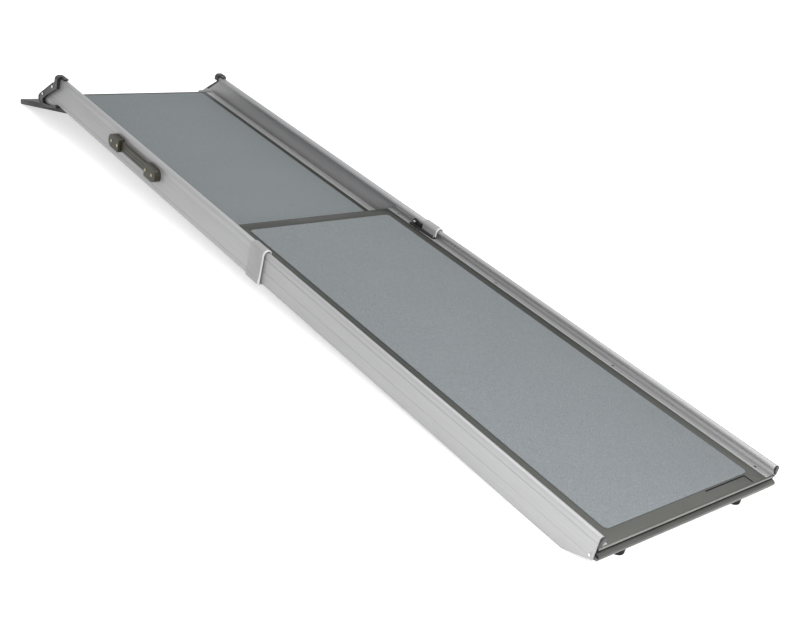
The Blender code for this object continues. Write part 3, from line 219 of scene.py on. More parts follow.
def moulded(name, colour, roughness, grain, depth, scuffs=0.0, gloss=0.5, low_end_sheen=None):
    """Injection-moulded plastic with a fine spark texture, light scuffs where paws and hands rub, and a
    painted sheen paler towards the low end if asked.
    """
    made = Surface(name, colour, roughness, Specular_IOR_Level=gloss)
    texture = made.noise(grain)
    clouds = made.noise(22, detail=4.0, seed=4.0)
    base = made.mix(made.ranged(clouds, 0.3, 0.7, 0, 1), times(colour, 0.90), times(colour, 1.12))
    if scuffs:
        rubbed = made.noise(60, stretch=(0.35, 2.4, 1), detail=5.0, seed=9.0, roughness=0.7)
        scuffed = times(colour, SCUFF_GAIN, SCUFF_LIFT)
        base = made.mix(made.ranged(rubbed, 0.56, 0.74, 0, scuffs), base, scuffed)
    # painted sheen: the colour is mixed paler towards the low end, in place of the light's glancing sheen
    # there
    if low_end_sheen:
        along = made.node("ShaderNodeSeparateXYZ", Vector=made.place).outputs["Y"]
        sheen_share = made.ranged(along, PAINTED_SHEEN_FROM, 0.0, 0.0, 1.0)
        base = made.mix(sheen_share, base, low_end_sheen)
    made.paint(base)
    made.rough(made.ranged(clouds, 0.3, 0.7, roughness - 0.06, roughness + 0.08))
    made.bump(texture, depth, 0.0003)
    return made.material


def rubber(name, colour):
    """Dull rubber with a little dust on it."""
    made = Surface(name, colour, 0.75, Specular_IOR_Level=0.25)
    dust = made.noise(80, detail=5.0, seed=1.0, roughness=0.7)
    made.paint(made.mix(made.ranged(dust, 0.5, 0.75, 0, 0.35), colour, times(colour, 1, 0.03)))
    made.rough(made.ranged(dust, 0.3, 0.7, 0.62, 0.85))
    made.bump(made.noise(700), 0.15, 0.0003)
    return made.material


def steel(name, colour, roughness):
    """Plated steel with fine marks of its making."""
    made = Surface(name, colour, roughness, metallic=1.0)
    turned = made.noise(2500)
    made.paint(made.mix(made.ranged(turned, 0.3, 0.7, 0, 1), times(colour, 0.85), times(colour, 1.08)))
    made.rough(made.ranged(turned, 0.3, 0.7, roughness - 0.06, roughness + 0.08))
    made.bump(turned, 0.05, 0.0001)
    return made.material


RAIL = aluminium("rail_satin_aluminium", (0.40, 0.40, 0.404), 0.46)
COLLAR = moulded("collar_satin_grey", (0.36, 0.36, 0.364), 0.34, 1100, 0.05)
# painted highlight: a paler copy of the collar's grey, for the light on its rounded low rim
RIM_PAINTED_HIGHLIGHT = moulded("collar_rim_painted_highlight", (0.66, 0.66, 0.66), 0.30, 1100, 0.03)
MAT = grit("grip_mat_grit", (0.215, 0.236, 0.246))
DECK_PAINTED_SHEEN = (0.088, 0.090, 0.082)
# painted sheen: the deck's plastic is painted paler towards the low end, in place of the front light's
# glancing sheen
DECK = moulded(
    "deck_dark_plastic", (0.034, 0.036, 0.032), 0.46, 1000, 0.16, 0.4, gloss=0.28, low_end_sheen=DECK_PAINTED_SHEEN
)
NOSE = moulded("low_end_dark_plastic", (0.066, 0.067, 0.061), 0.38, 1000, 0.12, 0.4)
CAP = moulded("cap_charcoal_plastic", (0.019, 0.019, 0.020), 0.40, 1100, 0.14, 0.2, gloss=0.4)
LIP = moulded("lip_charcoal_plastic", (0.017, 0.017, 0.017), 0.50, 900, 0.18, 0.25, gloss=0.3)
HANDLE = moulded("handle_olive_grey_plastic", (0.031, 0.029, 0.018), 0.42, 1000, 0.16, 0.25, gloss=0.35)
BLACK = moulded("black_plastic", (0.020, 0.020, 0.020), 0.38, 1200, 0.08)
FOOT = rubber("rubber_feet", (0.006, 0.006, 0.006))
# painted shade: a near-black finish for the groove under the nose and the nameplate recess, where shade falls
PAINTED_SHADE = rubber("shadow_gap", (0.003, 0.003, 0.003))
# painted highlight: a paler finish for the light along the nose's rounded front
NOSE_PAINTED_HIGHLIGHT = moulded("low_end_painted_highlight_edge", (0.20, 0.20, 0.185), 0.32, 1000, 0.06)
SCREW = steel("plated_steel", (0.74, 0.73, 0.70), 0.28)
BRASSY = steel("yellow_plated_steel", (0.42, 0.38, 0.24), 0.38)


# Shapes

def arc(u, v, radius, start, end, steps):
    """Points of an arc, with its angles in degrees."""
    points = []
    for i in range(steps + 1):
        angle = math.radians(start + (end - start) * i / steps)
        points.append((u + radius * math.cos(angle), v + radius * math.sin(angle)))
    return points


def filleted(loop, radius, steps=3, least=25):
    """The outline with every corner that turns by more than the least angle rounded."""
    made = []
    count = len(loop)
    for i in range(count):
        before, here, after = (Vector(loop[(i + k) % count]) for k in (-1, 0, 1))
        back = before - here
        on = after - here
        turn = 180 - math.degrees(back.angle(on, math.pi))
        if turn < least:
            made.append(tuple(here))
            continue
        half = math.radians(180 - turn) / 2
        run = min(radius / math.tan(half), 0.45 * back.length, 0.45 * on.length)
        start = here + back.normalized() * run
        end = here + on.normalized() * run
        for k in range(steps + 1):
            t = k / steps
            made.append(tuple(start * (1 - t) ** 2 + here * 2 * t * (1 - t) + end * t ** 2))
    return made


def inset(loop, distance):
    """The outline moved inwards, corner by corner."""
    count = len(loop)
    following = loop[1:] + loop[:1]
    area = sum(u * next_v - next_u * v for (u, v), (next_u, next_v) in zip(loop, following))
    turn = 1 if area > 0 else -1
    made = []
    for i in range(count):
        before, here, after = (Vector(loop[(i + k) % count]) for k in (-1, 0, 1))
        first = (here - before).normalized()
        second = (after - here).normalized()
        inward_first = Vector((-first.y, first.x)) * turn
        inward_second = Vector((-second.y, second.x)) * turn
        middle = inward_first + inward_second
        made.append(tuple(here + middle * (2 * distance / middle.length_squared)))
    return made


def rounded_rectangle(u0, u1, v0, v1, radius, steps):
    return (
        arc(u1 - radius, v1 - radius, radius, 0, 90, steps)
        + arc(u0 + radius, v1 - radius, radius, 90, 180, steps)
        + arc(u0 + radius, v0 + radius, radius, 180, 270, steps)
        + arc(u1 - radius, v0 + radius, radius, 270, 360, steps)
    )


def extruded(loops, plane, low, high):
    """A flat outline, with any holes, made solid from low to high along the plane's normal."""
    outline = bpy.data.curves.new("outline", "CURVE")
    outline.dimensions = "2D"
    outline.fill_mode = "BOTH"
    outline.extrude = (high - low) / 2
    for loop in loops:
        spline = outline.splines.new("POLY")
        spline.points.add(len(loop) - 1)
        for point, (u, v) in zip(spline.points, loop):
            point.co = (u, v, 0, 1)
        spline.use_cyclic_u = True
    holder = bpy.data.objects.new("outline", outline)
    bpy.context.scene.collection.objects.link(holder)
    mesh = bpy.data.meshes.new_from_object(holder.evaluated_get(bpy.context.evaluated_depsgraph_get()))
    bpy.data.objects.remove(holder, do_unlink=True)
    bpy.data.curves.remove(outline)
    shape = bmesh.new()
    shape.from_mesh(mesh)
    bmesh.ops.remove_doubles(shape, verts=shape.verts, dist=1e-7)
    shape.transform(Matrix.Translation(NORMALS[plane] * (low + high) / 2) @ PLANES[plane].to_4x4())
    bmesh.ops.recalc_face_normals(shape, faces=shape.faces)
    shape.to_mesh(mesh)
    shape.free()
    return mesh


def boxes(spans):
    """Boxes, each given by its low and its high corner."""
    mesh = bpy.data.meshes.new("boxes")
    shape = bmesh.new()
    for low, high in spans:
        low = Vector(low)
        size = Vector(high) - low
        place = Matrix.Translation(low + size / 2) @ Matrix.Diagonal((*size, 1))
        bmesh.ops.create_cube(shape, size=1, matrix=place)
    shape.to_mesh(mesh)
    shape.free()
    return mesh


def rods(axis, centres, length, radius=HOLE_RADIUS):
    """Round bars along X or Z, centred on the given points."""
    turn = Matrix.Rotation(math.pi / 2, 4, "Y") if axis == "X" else Matrix()
    mesh = bpy.data.meshes.new("rods")
    shape = bmesh.new()
    for centre in centres:
        place = Matrix.Translation(centre) @ turn
        bmesh.ops.create_cone(
            shape, cap_ends=True, segments=24, radius1=radius, radius2=radius, depth=length, matrix=place
        )
    shape.to_mesh(mesh)
    shape.free()
    return mesh


def rings(loops):
    """A solid through a row of outlines that have as many points each."""
    mesh = bpy.data.meshes.new("rings")
    shape = bmesh.new()
    rows = [[shape.verts.new(point) for point in loop] for loop in loops]
    for row, following in zip(rows, rows[1:]):
        for i in range(len(row)):
            j = (i + 1) % len(row)
            shape.faces.new((row[i], row[j], following[j], following[i]))
    shape.faces.new(rows[0])
    shape.faces.new(rows[-1])
    bmesh.ops.recalc_face_normals(shape, faces=shape.faces)
    shape.to_mesh(mesh)
    shape.free()
    return mesh


def mirrored(mesh):
    """A copy for the ramp's other side."""
    other = mesh.copy()
    shape = bmesh.new()
    shape.from_mesh(other)
    shape.transform(Matrix.Diagonal((-1, 1, 1, 1)))
    bmesh.ops.reverse_faces(shape, faces=shape.faces)
    shape.to_mesh(other)
    shape.free()
    return other


def same(mesh):
    return mesh.copy()


# Each side's name, its sign on X, and what makes its shape from the right side's
SIDES = (("left", -1, mirrored), ("right", 1, same))


class Piece:
    """A piece of the ramp while it is being made: a mesh, then cuts, then softened edges."""

    def __init__(self, name, mesh):
        self.made = bpy.data.objects.new(name, mesh)
        bpy.context.scene.collection.objects.link(self.made)
        self.helpers = []

    def combine(self, mesh, operation="DIFFERENCE"):
        other = bpy.data.objects.new("helper", mesh)
        bpy.context.scene.collection.objects.link(other)
        self.helpers.append(other)
        step = self.made.modifiers.new("combine", "BOOLEAN")
        step.operation = operation
        step.object = other
        step.solver = "EXACT"
        return self

    def soften(self, width, segments=3, angle=40):
        step = self.made.modifiers.new("edges", "BEVEL")
        step.width = width
        step.segments = segments
        step.limit_method = "ANGLE"
        step.angle_limit = math.radians(angle)
        step.use_clamp_overlap = True
        return self

    def finish(self, finish, body, slot, replaced=None, smooth=35):
        """Applies the steps, shades the piece, and puts it on its body."""
        depsgraph = bpy.context.evaluated_depsgraph_get()
        mesh = bpy.data.meshes.new_from_object(self.made.evaluated_get(depsgraph))
        self.made.modifiers.clear()
        self.made.data = mesh
        for other in self.helpers:
            bpy.data.objects.remove(other, do_unlink=True)
        mesh.materials.clear()
        mesh.materials.append(finish)
        mesh.shade_smooth()
        mesh.set_sharp_from_angle(angle=math.radians(smooth))
        self.made.matrix_world = RAMP
        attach(self.made, body)
        if replaced:
            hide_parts(replaced)
        return self.made


def copied(node):
    """The node's own shape on the ramp's axes, with its flat faces joined for softening its edges."""
    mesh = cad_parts[node].data.copy()
    shape = bmesh.new()
    shape.from_mesh(mesh)
    shape.transform(RAMP.inverted())
    bmesh.ops.remove_doubles(shape, verts=shape.verts, dist=2e-6)
    bmesh.ops.dissolve_limit(shape, angle_limit=math.radians(1), verts=shape.verts, edges=shape.edges)
    bmesh.ops.recalc_face_normals(shape, faces=shape.faces)
    shape.to_mesh(mesh)
    shape.free()
    return mesh


def refined(node, finish, body, slot, width, segments=2, angle=40, smooth=40):
    piece = Piece(node + "_look", copied(node)).soften(width, segments, angle)
    return piece.finish(finish, body, slot, node, smooth)


def repaint(piece, finish, wanted):
    """Gives another finish to the faces that the test picks by their middle and their normal."""
    piece.data.materials.append(finish)
    slot = len(piece.data.materials) - 1
    for face in piece.data.polygons:
        if wanted(face.center, face.normal):
            face.material_index = slot


# Rails

def groove(face, z, width=GROOVE_WIDTH, depth=GROOVE_DEPTH):
    """A shallow V in the outer face of a rail's outline."""
    return [(face, z - width / 2), (face - depth, z), (face, z + width / 2)]


def lower_rail_loops():
    web = LOWER_HALF - LOWER_WALL
    crown = 360 - math.degrees(math.acos((web - BEAD_X) / BEAD_RADIUS))
    outline = [(LOWER_HALF, LOWER_BOTTOM)]
    outline += groove(LOWER_HALF, LOWER_GROOVE_Z)
    under_bead = BEAD_Z - BEAD_RADIUS - BEAD_GROOVE_WIDTH / 2
    outline += groove(LOWER_HALF, under_bead, BEAD_GROOVE_WIDTH, BEAD_GROOVE_DEPTH)
    outline += arc(BEAD_X, BEAD_Z, BEAD_RADIUS, 0, crown, 40)
    outline += arc(web - LEDGE_FILLET, LEDGE_FILLET, LEDGE_FILLET, 0, -90, 10)
    outline += [
        (LEDGE_INNER, 0),
        (LEDGE_INNER, -LOWER_WALL),
        (web, -LOWER_WALL),
        (web, LOWER_BOTTOM + LOWER_WALL),
        (FOOT_INNER, LOWER_BOTTOM + LOWER_WALL),
        (FOOT_INNER, LOWER_BOTTOM),
    ]
    return [filleted(outline, PROFILE_CORNER), arc(BEAD_X, BEAD_Z, BEAD_BORE, 0, 360, 28)[:-1]]


def upper_rail_loops():
    web = BEAD_X + HOOK_INNER
    keeper = CHANNEL_WALL_IN - KEEPER_REACH
    outline = [(UPPER_HALF, UPPER_BOTTOM)]
    outline += groove(UPPER_HALF, UPPER_GROOVE_Z)
    under_hook = BEAD_Z - HOOK_OUTER - BEAD_GROOVE_WIDTH / 2
    outline += groove(UPPER_HALF, under_hook, BEAD_GROOVE_WIDTH, BEAD_GROOVE_DEPTH / 2)
    outline += arc(BEAD_X, BEAD_Z, HOOK_OUTER, 0, HOOK_WRAP, 40)
    outline += arc(BEAD_X, BEAD_Z, HOOK_INNER, HOOK_WRAP, 0, 36)
    outline += [
        (web, CHANNEL_FLOOR),
        (CHANNEL_INNER, CHANNEL_FLOOR),
        (CHANNEL_INNER, UPPER_LEDGE_Z),
        (UPPER_LEDGE_INNER, UPPER_LEDGE_Z),
        (UPPER_LEDGE_INNER, UPPER_LEDGE_Z - UPPER_WALL),
        (CHANNEL_WALL_IN, UPPER_LEDGE_Z - UPPER_WALL),
        (CHANNEL_WALL_IN, KEEPER_TOP),
        (keeper, KEEPER_TOP),
        (keeper, KEEPER_TOP - UPPER_WALL),
        (CHANNEL_WALL_IN, KEEPER_TOP - UPPER_WALL),
        (CHANNEL_WALL_IN, UPPER_BOTTOM),
    ]
    return [filleted(outline, PROFILE_CORNER)]


def chamfer_z(y):
    """Height of the cut across the lower rails' low corners."""
    return -(CHAMFER_DEPTH + (-LOWER_BOTTOM - CHAMFER_DEPTH) / CHAMFER_LENGTH * y)


def slant_y(z):
    """Where the upper rails' slanted top ends are, at a height."""
    return UPPER_END + (SLANT_START_Z - z) * SLANT_RUN


RIVET_X = 0.1987
RIVET_YS = (0.027, 0.336, 0.645, 0.954)
LATCH_NOTCHES = ((0.8809, 0.8891), (0.0609, 0.0691))
NOTCH_X = (0.1982, 0.2017)
NOTCH_DEPTH = 0.0012
RIVET_HEAD = 0.0024
RIVET_SEAT = 0.0012
BUMPER_SCREW = (0.007, -0.0165)
RAIL_EDGE = 0.0003


def make_lower_rails():
    past = 0.02
    end = CHAMFER_LENGTH + past
    low = LOWER_BOTTOM - past
    corner = [(-past, chamfer_z(-past)), (end, chamfer_z(end)), (end, low), (-past, low)]
    rivet_places = [(RIVET_X, y, 0) for y in RIVET_YS]
    rivets = rods("Z", rivet_places, length=0.008)
    seats = rods("Z", rivet_places, length=2 * RIVET_SEAT, radius=RIVET_HEAD + SEAT_GAP)
    screw = rods("X", [(LOWER_HALF, *BUMPER_SCREW)], length=0.02)
    inner, outer = NOTCH_X
    notches = boxes([((inner, start, -NOTCH_DEPTH), (outer, stop, OVERCUT)) for start, stop in LATCH_NOTCHES])
    profile = extruded(lower_rail_loops(), "XZ", 0, LOWER_LENGTH)
    for side, _, change in SIDES:
        rail = Piece("rail_lower_" + side, change(profile))
        rail.combine(extruded([corner], "YZ", -CUT_HALF, CUT_HALF))
        if side == "right":
            rail.combine(notches)
        rail.combine(change(rivets))
        rail.combine(change(seats))
        rail.combine(change(screw))
        rail.soften(RAIL_EDGE, 2, 60)
        rail.finish(RAIL, "lower_section", "rail_aluminium", "lower_rail_" + side)


def make_upper_rails():
    past = 0.02
    deep = UPPER_BOTTOM - past
    high = 0.05
    far = slant_y(deep) + 0.03
    slant = [(UPPER_END, high), (UPPER_END, SLANT_START_Z), (slant_y(deep), deep), (far, deep), (far, high)]
    edge = CHANNEL_WALL_IN - 0.0001
    ledge_low = (-edge, UPPER_END + DECK_REACH, KEEPER_TOP - UPPER_WALL - OVERCUT)
    ledge_high = (edge, far, UPPER_LEDGE_Z + OVERCUT)
    profile = extruded(upper_rail_loops(), "XZ", UPPER_START, slant_y(UPPER_BOTTOM) + OVERCUT)
    for side, _, change in SIDES:
        rail = Piece("rail_upper_" + side, change(profile))
        rail.combine(extruded([slant], "YZ", -CUT_HALF, CUT_HALF))
        rail.combine(boxes([(ledge_low, ledge_high)]))
        rail.soften(RAIL_EDGE, 2, 60)
        rail.finish(RAIL, "upper_section", "rail_aluminium", "upper_rail_" + side)


# Collars

COLLAR_START = 0.833
COLLAR_LENGTH = 0.044
COLLAR_WALL = 0.0019
COLLAR_STEP_Z = -0.0352
COLLAR_RIM = 0.0030
COLLAR_STEP = 0.0008
COLLAR_UNDER = 0.011
COLLAR_SKIRT_Z = 0.004
COLLAR_CORNER = 0.0018
COLLAR_SECTIONS = (         # how far along the collar, and how much thinner its wall is there
    (0, 0.0013),
    (0.0003, 0.0009),
    (0.0009, 0.0004),
    (0.0018, 0.0001),
    (COLLAR_RIM, 0),
    (COLLAR_LENGTH - 0.0012, 0),
    (COLLAR_LENGTH - 0.0004, 0.0002),
    (COLLAR_LENGTH, 0.0007),
)


def collar_loop(y, wall):
    """The collar's outline across the ramp: around the hook, down past a step, and in under the rail."""
    inner = HOOK_OUTER + SEAT_GAP
    outer = inner + wall
    under = UPPER_BOTTOM - SEAT_GAP
    edge = UPPER_HALF - COLLAR_UNDER
    step = UPPER_HALF + SEAT_GAP + wall + COLLAR_STEP
    points = [(edge, under), (BEAD_X + inner, under)]
    points += arc(BEAD_X, BEAD_Z, inner, 0, 180, 28)
    points += [(BEAD_X - inner, COLLAR_SKIRT_Z), (BEAD_X - outer, COLLAR_SKIRT_Z)]
    points += arc(BEAD_X, BEAD_Z, outer, 180, 0, 30)
    ease = COLLAR_STEP * 0.15
    points += [
        (BEAD_X + outer, COLLAR_STEP_Z + 0.0012),
        (BEAD_X + outer + ease, COLLAR_STEP_Z + 0.0004),
        (step - ease, COLLAR_STEP_Z - COLLAR_STEP),
        (step, COLLAR_STEP_Z - COLLAR_STEP - 0.0008),
    ]
    points += arc(step - COLLAR_CORNER, under - wall + COLLAR_CORNER, COLLAR_CORNER, 0, -90, 6)
    points += [(edge, under - wall)]
    return [(x, y, z) for x, z in points]


def make_collars():
    mesh = rings([collar_loop(COLLAR_START + y, COLLAR_WALL - less) for y, less in COLLAR_SECTIONS])
    for side, _, change in SIDES:
        sleeve = Piece("sleeve_" + side, change(mesh))
        sleeve = sleeve.finish(COLLAR, "upper_section", "collar_grey", "collar_" + side, 30)
        # painted highlight: the rim's faces get the paler finish, for the light on the collar's rounded low
        # edge
        repaint(sleeve, RIM_PAINTED_HIGHLIGHT, lambda middle, normal: middle.y < COLLAR_START + COLLAR_RIM)


# Mats

MAT_THICKNESS = 0.0015
MAT_CORNER = 0.008


def make_mat(name, node, body, start, end, top):
    outline = rounded_rectangle(-MAT_HALF, MAT_HALF, start, end, MAT_CORNER, 12)
    mat = Piece(name, extruded([outline], "XY", top - MAT_THICKNESS, top))
    mat.soften(0.0004, 3, 60)
    mat.finish(MAT, body, "grip_mat", node)


# Caps on the upper rails' top ends

CAP_OUTLINE = (
    (-0.0085, 0.0150),
    (-0.0085, -0.0012),
    (-0.0070, -0.0042),
    (0.0180, -0.0210),
    (0.0424, -0.0377),
    (0.0610, -0.0535),
    (0.0632, -0.0575),
    (0.0600, -0.0612),
    (0.0540, -0.0620),
    (0.0407, -0.0600),
    (0.0185, -0.0536),
    (-0.0050, -0.0440),
    (-0.0110, -0.0440),
    (-0.0130, -0.0470),
    (-0.0110, -0.0500),
    (0.0399, -0.0658),
    (0.0631, -0.0698),
    (0.0785, -0.0660),
    (0.0852, -0.0585),
    (0.0845, -0.0530),
    (0.0779, -0.0459),
    (0.0455, -0.0206),
    (0.0130, 0.0045),
    (0.0062, 0.0054),
    (0.0056, 0.0150),
)
CAP_THICKNESS = 0.0077
CAP_RIM = 0.0014
CAP_RECESS = 0.0009
CAP_SCREWS = ((0.0144, -0.0066), (0.0627, -0.0417))
LOOP_BACK = 0.0085
LOOP_FRONT = 0.0056
LOOP_TOP = 0.0250
LOOP_WALL = 0.0022
LOOP_SKIRT_Z = 0.010
LOOP_CORNER = 0.0096
TONGUE_LENGTH = 0.0155
TONGUE_HALF = 0.0052
TONGUE_TOP = 0.0243


def band_loop(inset_by, radius):
    """The bent band's outline, seen from the side."""
    loop = [(UPPER_END + along, z) for along, z in CAP_OUTLINE]
    return filleted(inset(loop, inset_by) if inset_by else loop, radius, 4, 12)


def hook_loop():
    """The outline, across the ramp, of the loop over the rail's hook."""
    inside = HOOK_OUTER + SEAT_GAP
    left = BEAD_X - inside - LOOP_WALL
    right = UPPER_HALF + SEAT_GAP + CAP_THICKNESS
    corner = LOOP_CORNER
    outline = [(right, LOOP_SKIRT_Z)]
    outline += arc(right - corner, LOOP_TOP - corner, corner, 0, 90, 8)
    outline += arc(left + corner, LOOP_TOP - corner, corner, 90, 180, 8)
    outline += [(left, LOOP_SKIRT_Z), (BEAD_X - inside, LOOP_SKIRT_Z)]
    outline += arc(BEAD_X, BEAD_Z, inside, 180, 0, 24)
    outline += [(BEAD_X + inside, LOOP_SKIRT_Z)]
    return outline


def make_end_caps():
    face = UPPER_HALF + SEAT_GAP
    outer = face + CAP_THICKNESS
    band = extruded([band_loop(0, 0.003)], "YZ", face, outer)
    recess = extruded([band_loop(CAP_RIM, 0.002)], "YZ", outer - CAP_RECESS, outer + OVERCUT)
    back = UPPER_END - LOOP_BACK
    loop = extruded([hook_loop()], "XZ", back, UPPER_END + LOOP_FRONT)
    tongue_low = (BEAD_X - TONGUE_HALF, back - TONGUE_LENGTH, BEAD_Z + HOOK_OUTER + SEAT_GAP)
    tongue_high = (BEAD_X + TONGUE_HALF, back + OVERCUT, TONGUE_TOP)
    tongue = boxes([(tongue_low, tongue_high)])
    holes = rods("X", [(outer, UPPER_END + along, z) for along, z in CAP_SCREWS], length=0.03)
    for side, _, change in SIDES:
        cap = Piece("corner_cap_" + side, change(band))
        cap.combine(change(recess))
        cap.combine(change(loop), "UNION")
        cap.combine(change(tongue), "UNION")
        cap.combine(change(holes))
        cap.soften(0.0006, 2, 50)
        cap.finish(CAP, "upper_section", "black_plastic", "end_cap_" + side, 45)


# Handle

HANDLE_MIDDLE = 1.324
HANDLE_LENGTH = 0.2086
HANDLE_Z = -0.0065
BOSS_RADIUS = 0.0143
BOSS_LENGTH = 0.046
BOSS_THICKNESS = 0.014
BOSS_EDGE = 0.0030
STRAP_WIDTH = 0.0225
STRAP_THICKNESS = 0.0042
STRAP_RIB_HEIGHT = 0.0008
STRAP_RIBS = 3
STRAP_RIB_FULLNESS = 0.6
STRAP_CORNER = 0.0012
STRAP_STANDS_OFF = 0.0035
STRAP_ENTRY = 0.012
HANDLE_SCREWS = (0.0143, 0.0411)
HANDLE_LOW = HANDLE_MIDDLE - HANDLE_LENGTH / 2
HANDLE_HIGH = HANDLE_MIDDLE + HANDLE_LENGTH / 2
HANDLE_FACE = -UPPER_HALF - SEAT_GAP
# Each end's name, where its tip is, and which way it points
HANDLE_ENDS = (("lower", HANDLE_LOW, -1), ("upper", HANDLE_HIGH, 1))


def strap_loop():
    """The strap's section on the left side: soft edges, and rounded ribs along its outer face."""
    half = STRAP_WIDTH / 2
    inner = -UPPER_HALF - STRAP_STANDS_OFF
    outer = inner - STRAP_THICKNESS
    corner = STRAP_CORNER
    outline = arc(inner - corner, HANDLE_Z - half + corner, corner, 0, -90, 5)
    outline += arc(outer + corner, HANDLE_Z - half + corner, corner, -90, -180, 5)
    steps = 12 * STRAP_RIBS
    span = 2 * (half - corner)
    for k in range(1, steps):
        share = k / steps
        wave = 0.5 - 0.5 * math.cos(2 * math.pi * STRAP_RIBS * share)
        rib = STRAP_RIB_HEIGHT * wave ** STRAP_RIB_FULLNESS
        outline.append((outer - rib, HANDLE_Z - half + corner + span * share))
    outline += arc(outer + corner, HANDLE_Z + half - corner, corner, 180, 90, 5)
    outline += arc(inner - corner, HANDLE_Z + half - corner, corner, 90, 0, 5)
    return outline


def handle_boss_loop(end, direction):
    """An end boss seen from the side: round at its tip, square towards the strap."""
    centre = end - direction * BOSS_RADIUS
    inner = end - direction * BOSS_LENGTH
    points = [(centre + direction * y, z) for y, z in arc(0, HANDLE_Z, BOSS_RADIUS, -90, 90, 28)]
    points += [(inner, HANDLE_Z + BOSS_RADIUS), (inner, HANDLE_Z - BOSS_RADIUS)]
    return filleted(points, 0.002, 4, 30)


def make_handle():
    outer = HANDLE_FACE - BOSS_THICKNESS
    start = HANDLE_LOW + BOSS_LENGTH - STRAP_ENTRY
    end = HANDLE_HIGH - BOSS_LENGTH + STRAP_ENTRY
    strap = Piece("handle_grip", extruded([strap_loop()], "XZ", start, end))
    near = -UPPER_HALF - STRAP_STANDS_OFF + SEAT_GAP
    far = near - STRAP_THICKNESS - STRAP_RIB_HEIGHT - 2 * SEAT_GAP
    half = STRAP_WIDTH / 2 + SEAT_GAP
    slot = boxes([((far, start - SEAT_GAP, HANDLE_Z - half), (near, end + SEAT_GAP, HANDLE_Z + half))])
    for name, tip, direction in HANDLE_ENDS:
        outline = handle_boss_loop(tip, direction)
        boss = Piece("handle_mount_" + name, extruded([outline], "YZ", outer, HANDLE_FACE))
        boss.soften(BOSS_EDGE, 5, 60)
        boss.combine(slot.copy())
        holes = rods("X", [(outer, tip - direction * back, HANDLE_Z) for back in HANDLE_SCREWS], length=0.04)
        boss.combine(holes)
        strap.combine(holes.copy())
        boss.finish(HANDLE, "upper_section", "handle_plastic", "handle_boss_" + name, 40)
    strap.finish(HANDLE, "upper_section", "handle_plastic", "handle_strap", 40)


# Latch pad and fasteners

GUARD_INNER = 0.1945
GUARD_OUTER = 0.2040
GUARD_START = 0.8340
GUARD_STEP = 0.8818
GUARD_END = 0.9085
GUARD_LOW = 0.0004
GUARD_TOP = 0.0034
GUARD_CORNER = 0.0012
GUARD_RIVET_X = 0.1965
GUARD_RIVET_Y = GUARD_START + 0.0020
LEVER_CLEAR = 0.1980
SCREW_SIZES = (0.0032, 0.0013, 0.0013)              # head radius, head height, shank radius
BUMPER_SCREW_SIZES = (0.0021, 0.0006, 0.0013)
RIVET_SIZES = (RIVET_HEAD, 0.0008, 0.0013)
GUARD_RIVET_SIZES = (0.0013, 0.0006, 0.0006)
DOME_SHARE = 0.65           # of a head's height; the rest is its straight edge
SCREW_TURN = 0.7            # each screw stands at another angle than the one before it
QUARTER = math.pi / 2


def head_mesh(radius, height, shank, length, recess=False):
    """A domed head over its shank; the head looks along +Z and sits over zero, with a cross cut if asked."""
    profile = [(0, SEAT_GAP + height)]
    for k in range(1, 7):
        angle = math.radians(15 * k)
        rise = height * (1 - DOME_SHARE + DOME_SHARE * math.cos(angle))
        profile.append((radius * math.sin(angle), SEAT_GAP + rise))
    profile += [(radius, SEAT_GAP), (shank, SEAT_GAP), (shank, -length), (0, -length)]
    mesh = bpy.data.meshes.new("head")
    shape = bmesh.new()
    sides = 28
    rows = []
    for r, z in profile:
        if r == 0:
            rows.append([shape.verts.new((0, 0, z))])
            continue
        angles = [2 * math.pi * i / sides for i in range(sides)]
        rows.append([shape.verts.new((r * math.cos(a), r * math.sin(a), z)) for a in angles])
    for row, following in zip(rows, rows[1:]):
        for i in range(sides):
            j = (i + 1) % sides
            corners = [row[k % len(row)] for k in (i, j)]
            corners += [following[k % len(following)] for k in (j, i)]
            shape.faces.new(list(dict.fromkeys(corners)))
    bmesh.ops.recalc_face_normals(shape, faces=shape.faces)
    shape.to_mesh(mesh)
    shape.free()
    if not recess:
        return mesh
    top = SEAT_GAP + height
    arm = radius * 0.55
    wide = radius * 0.13
    deep = height * 0.7
    holder = Piece("head", mesh)
    holder.combine(boxes([((-arm, -wide, top - deep), (arm, wide, top + OVERCUT))]))
    holder.combine(boxes([((-wide, -arm, top - deep), (wide, arm, top + OVERCUT))]))
    depsgraph = bpy.context.evaluated_depsgraph_get()
    done = bpy.data.meshes.new_from_object(holder.made.evaluated_get(depsgraph))
    for thing in [holder.made, *holder.helpers]:
        bpy.data.objects.remove(thing, do_unlink=True)
    return done


def fasten(name, mesh, place, turn, spin, finish, body, slot, node=None):
    """Puts a fastener in its place, turned from up to outward and then about its own axis."""
    made = mesh.copy()
    turned = Matrix.Rotation(turn, 4, "Y") @ Matrix.Rotation(spin, 4, "Z")
    made.transform(Matrix.Translation(place) @ turned)
    Piece(name, made).finish(finish, body, slot, node, 35)


def make_latch_guard():
    """The latch's black pad: it covers the ledge beside the lever, and runs under the collar's skirt."""
    outline = [
        (GUARD_INNER, GUARD_START),
        (GUARD_OUTER, GUARD_START),
        (GUARD_OUTER, GUARD_STEP),
        (LEVER_CLEAR, GUARD_STEP),
        (LEVER_CLEAR, GUARD_END),
        (LEDGE_INNER + SEAT_GAP, GUARD_END),
        (LEDGE_INNER + SEAT_GAP, GUARD_STEP),
    ]
    guard = Piece("latch_guard", extruded([filleted(outline, GUARD_CORNER, 4)], "XY", GUARD_LOW, GUARD_TOP))
    guard.soften(0.0004, 3, 60).finish(BLACK, "upper_section", "black_plastic")
    rivet = head_mesh(*GUARD_RIVET_SIZES, length=0.0008)
    place = (GUARD_RIVET_X, GUARD_RIVET_Y, GUARD_TOP)
    fasten("latch_guard_rivet", rivet, place, 0, 0, SCREW, "upper_section", "steel")


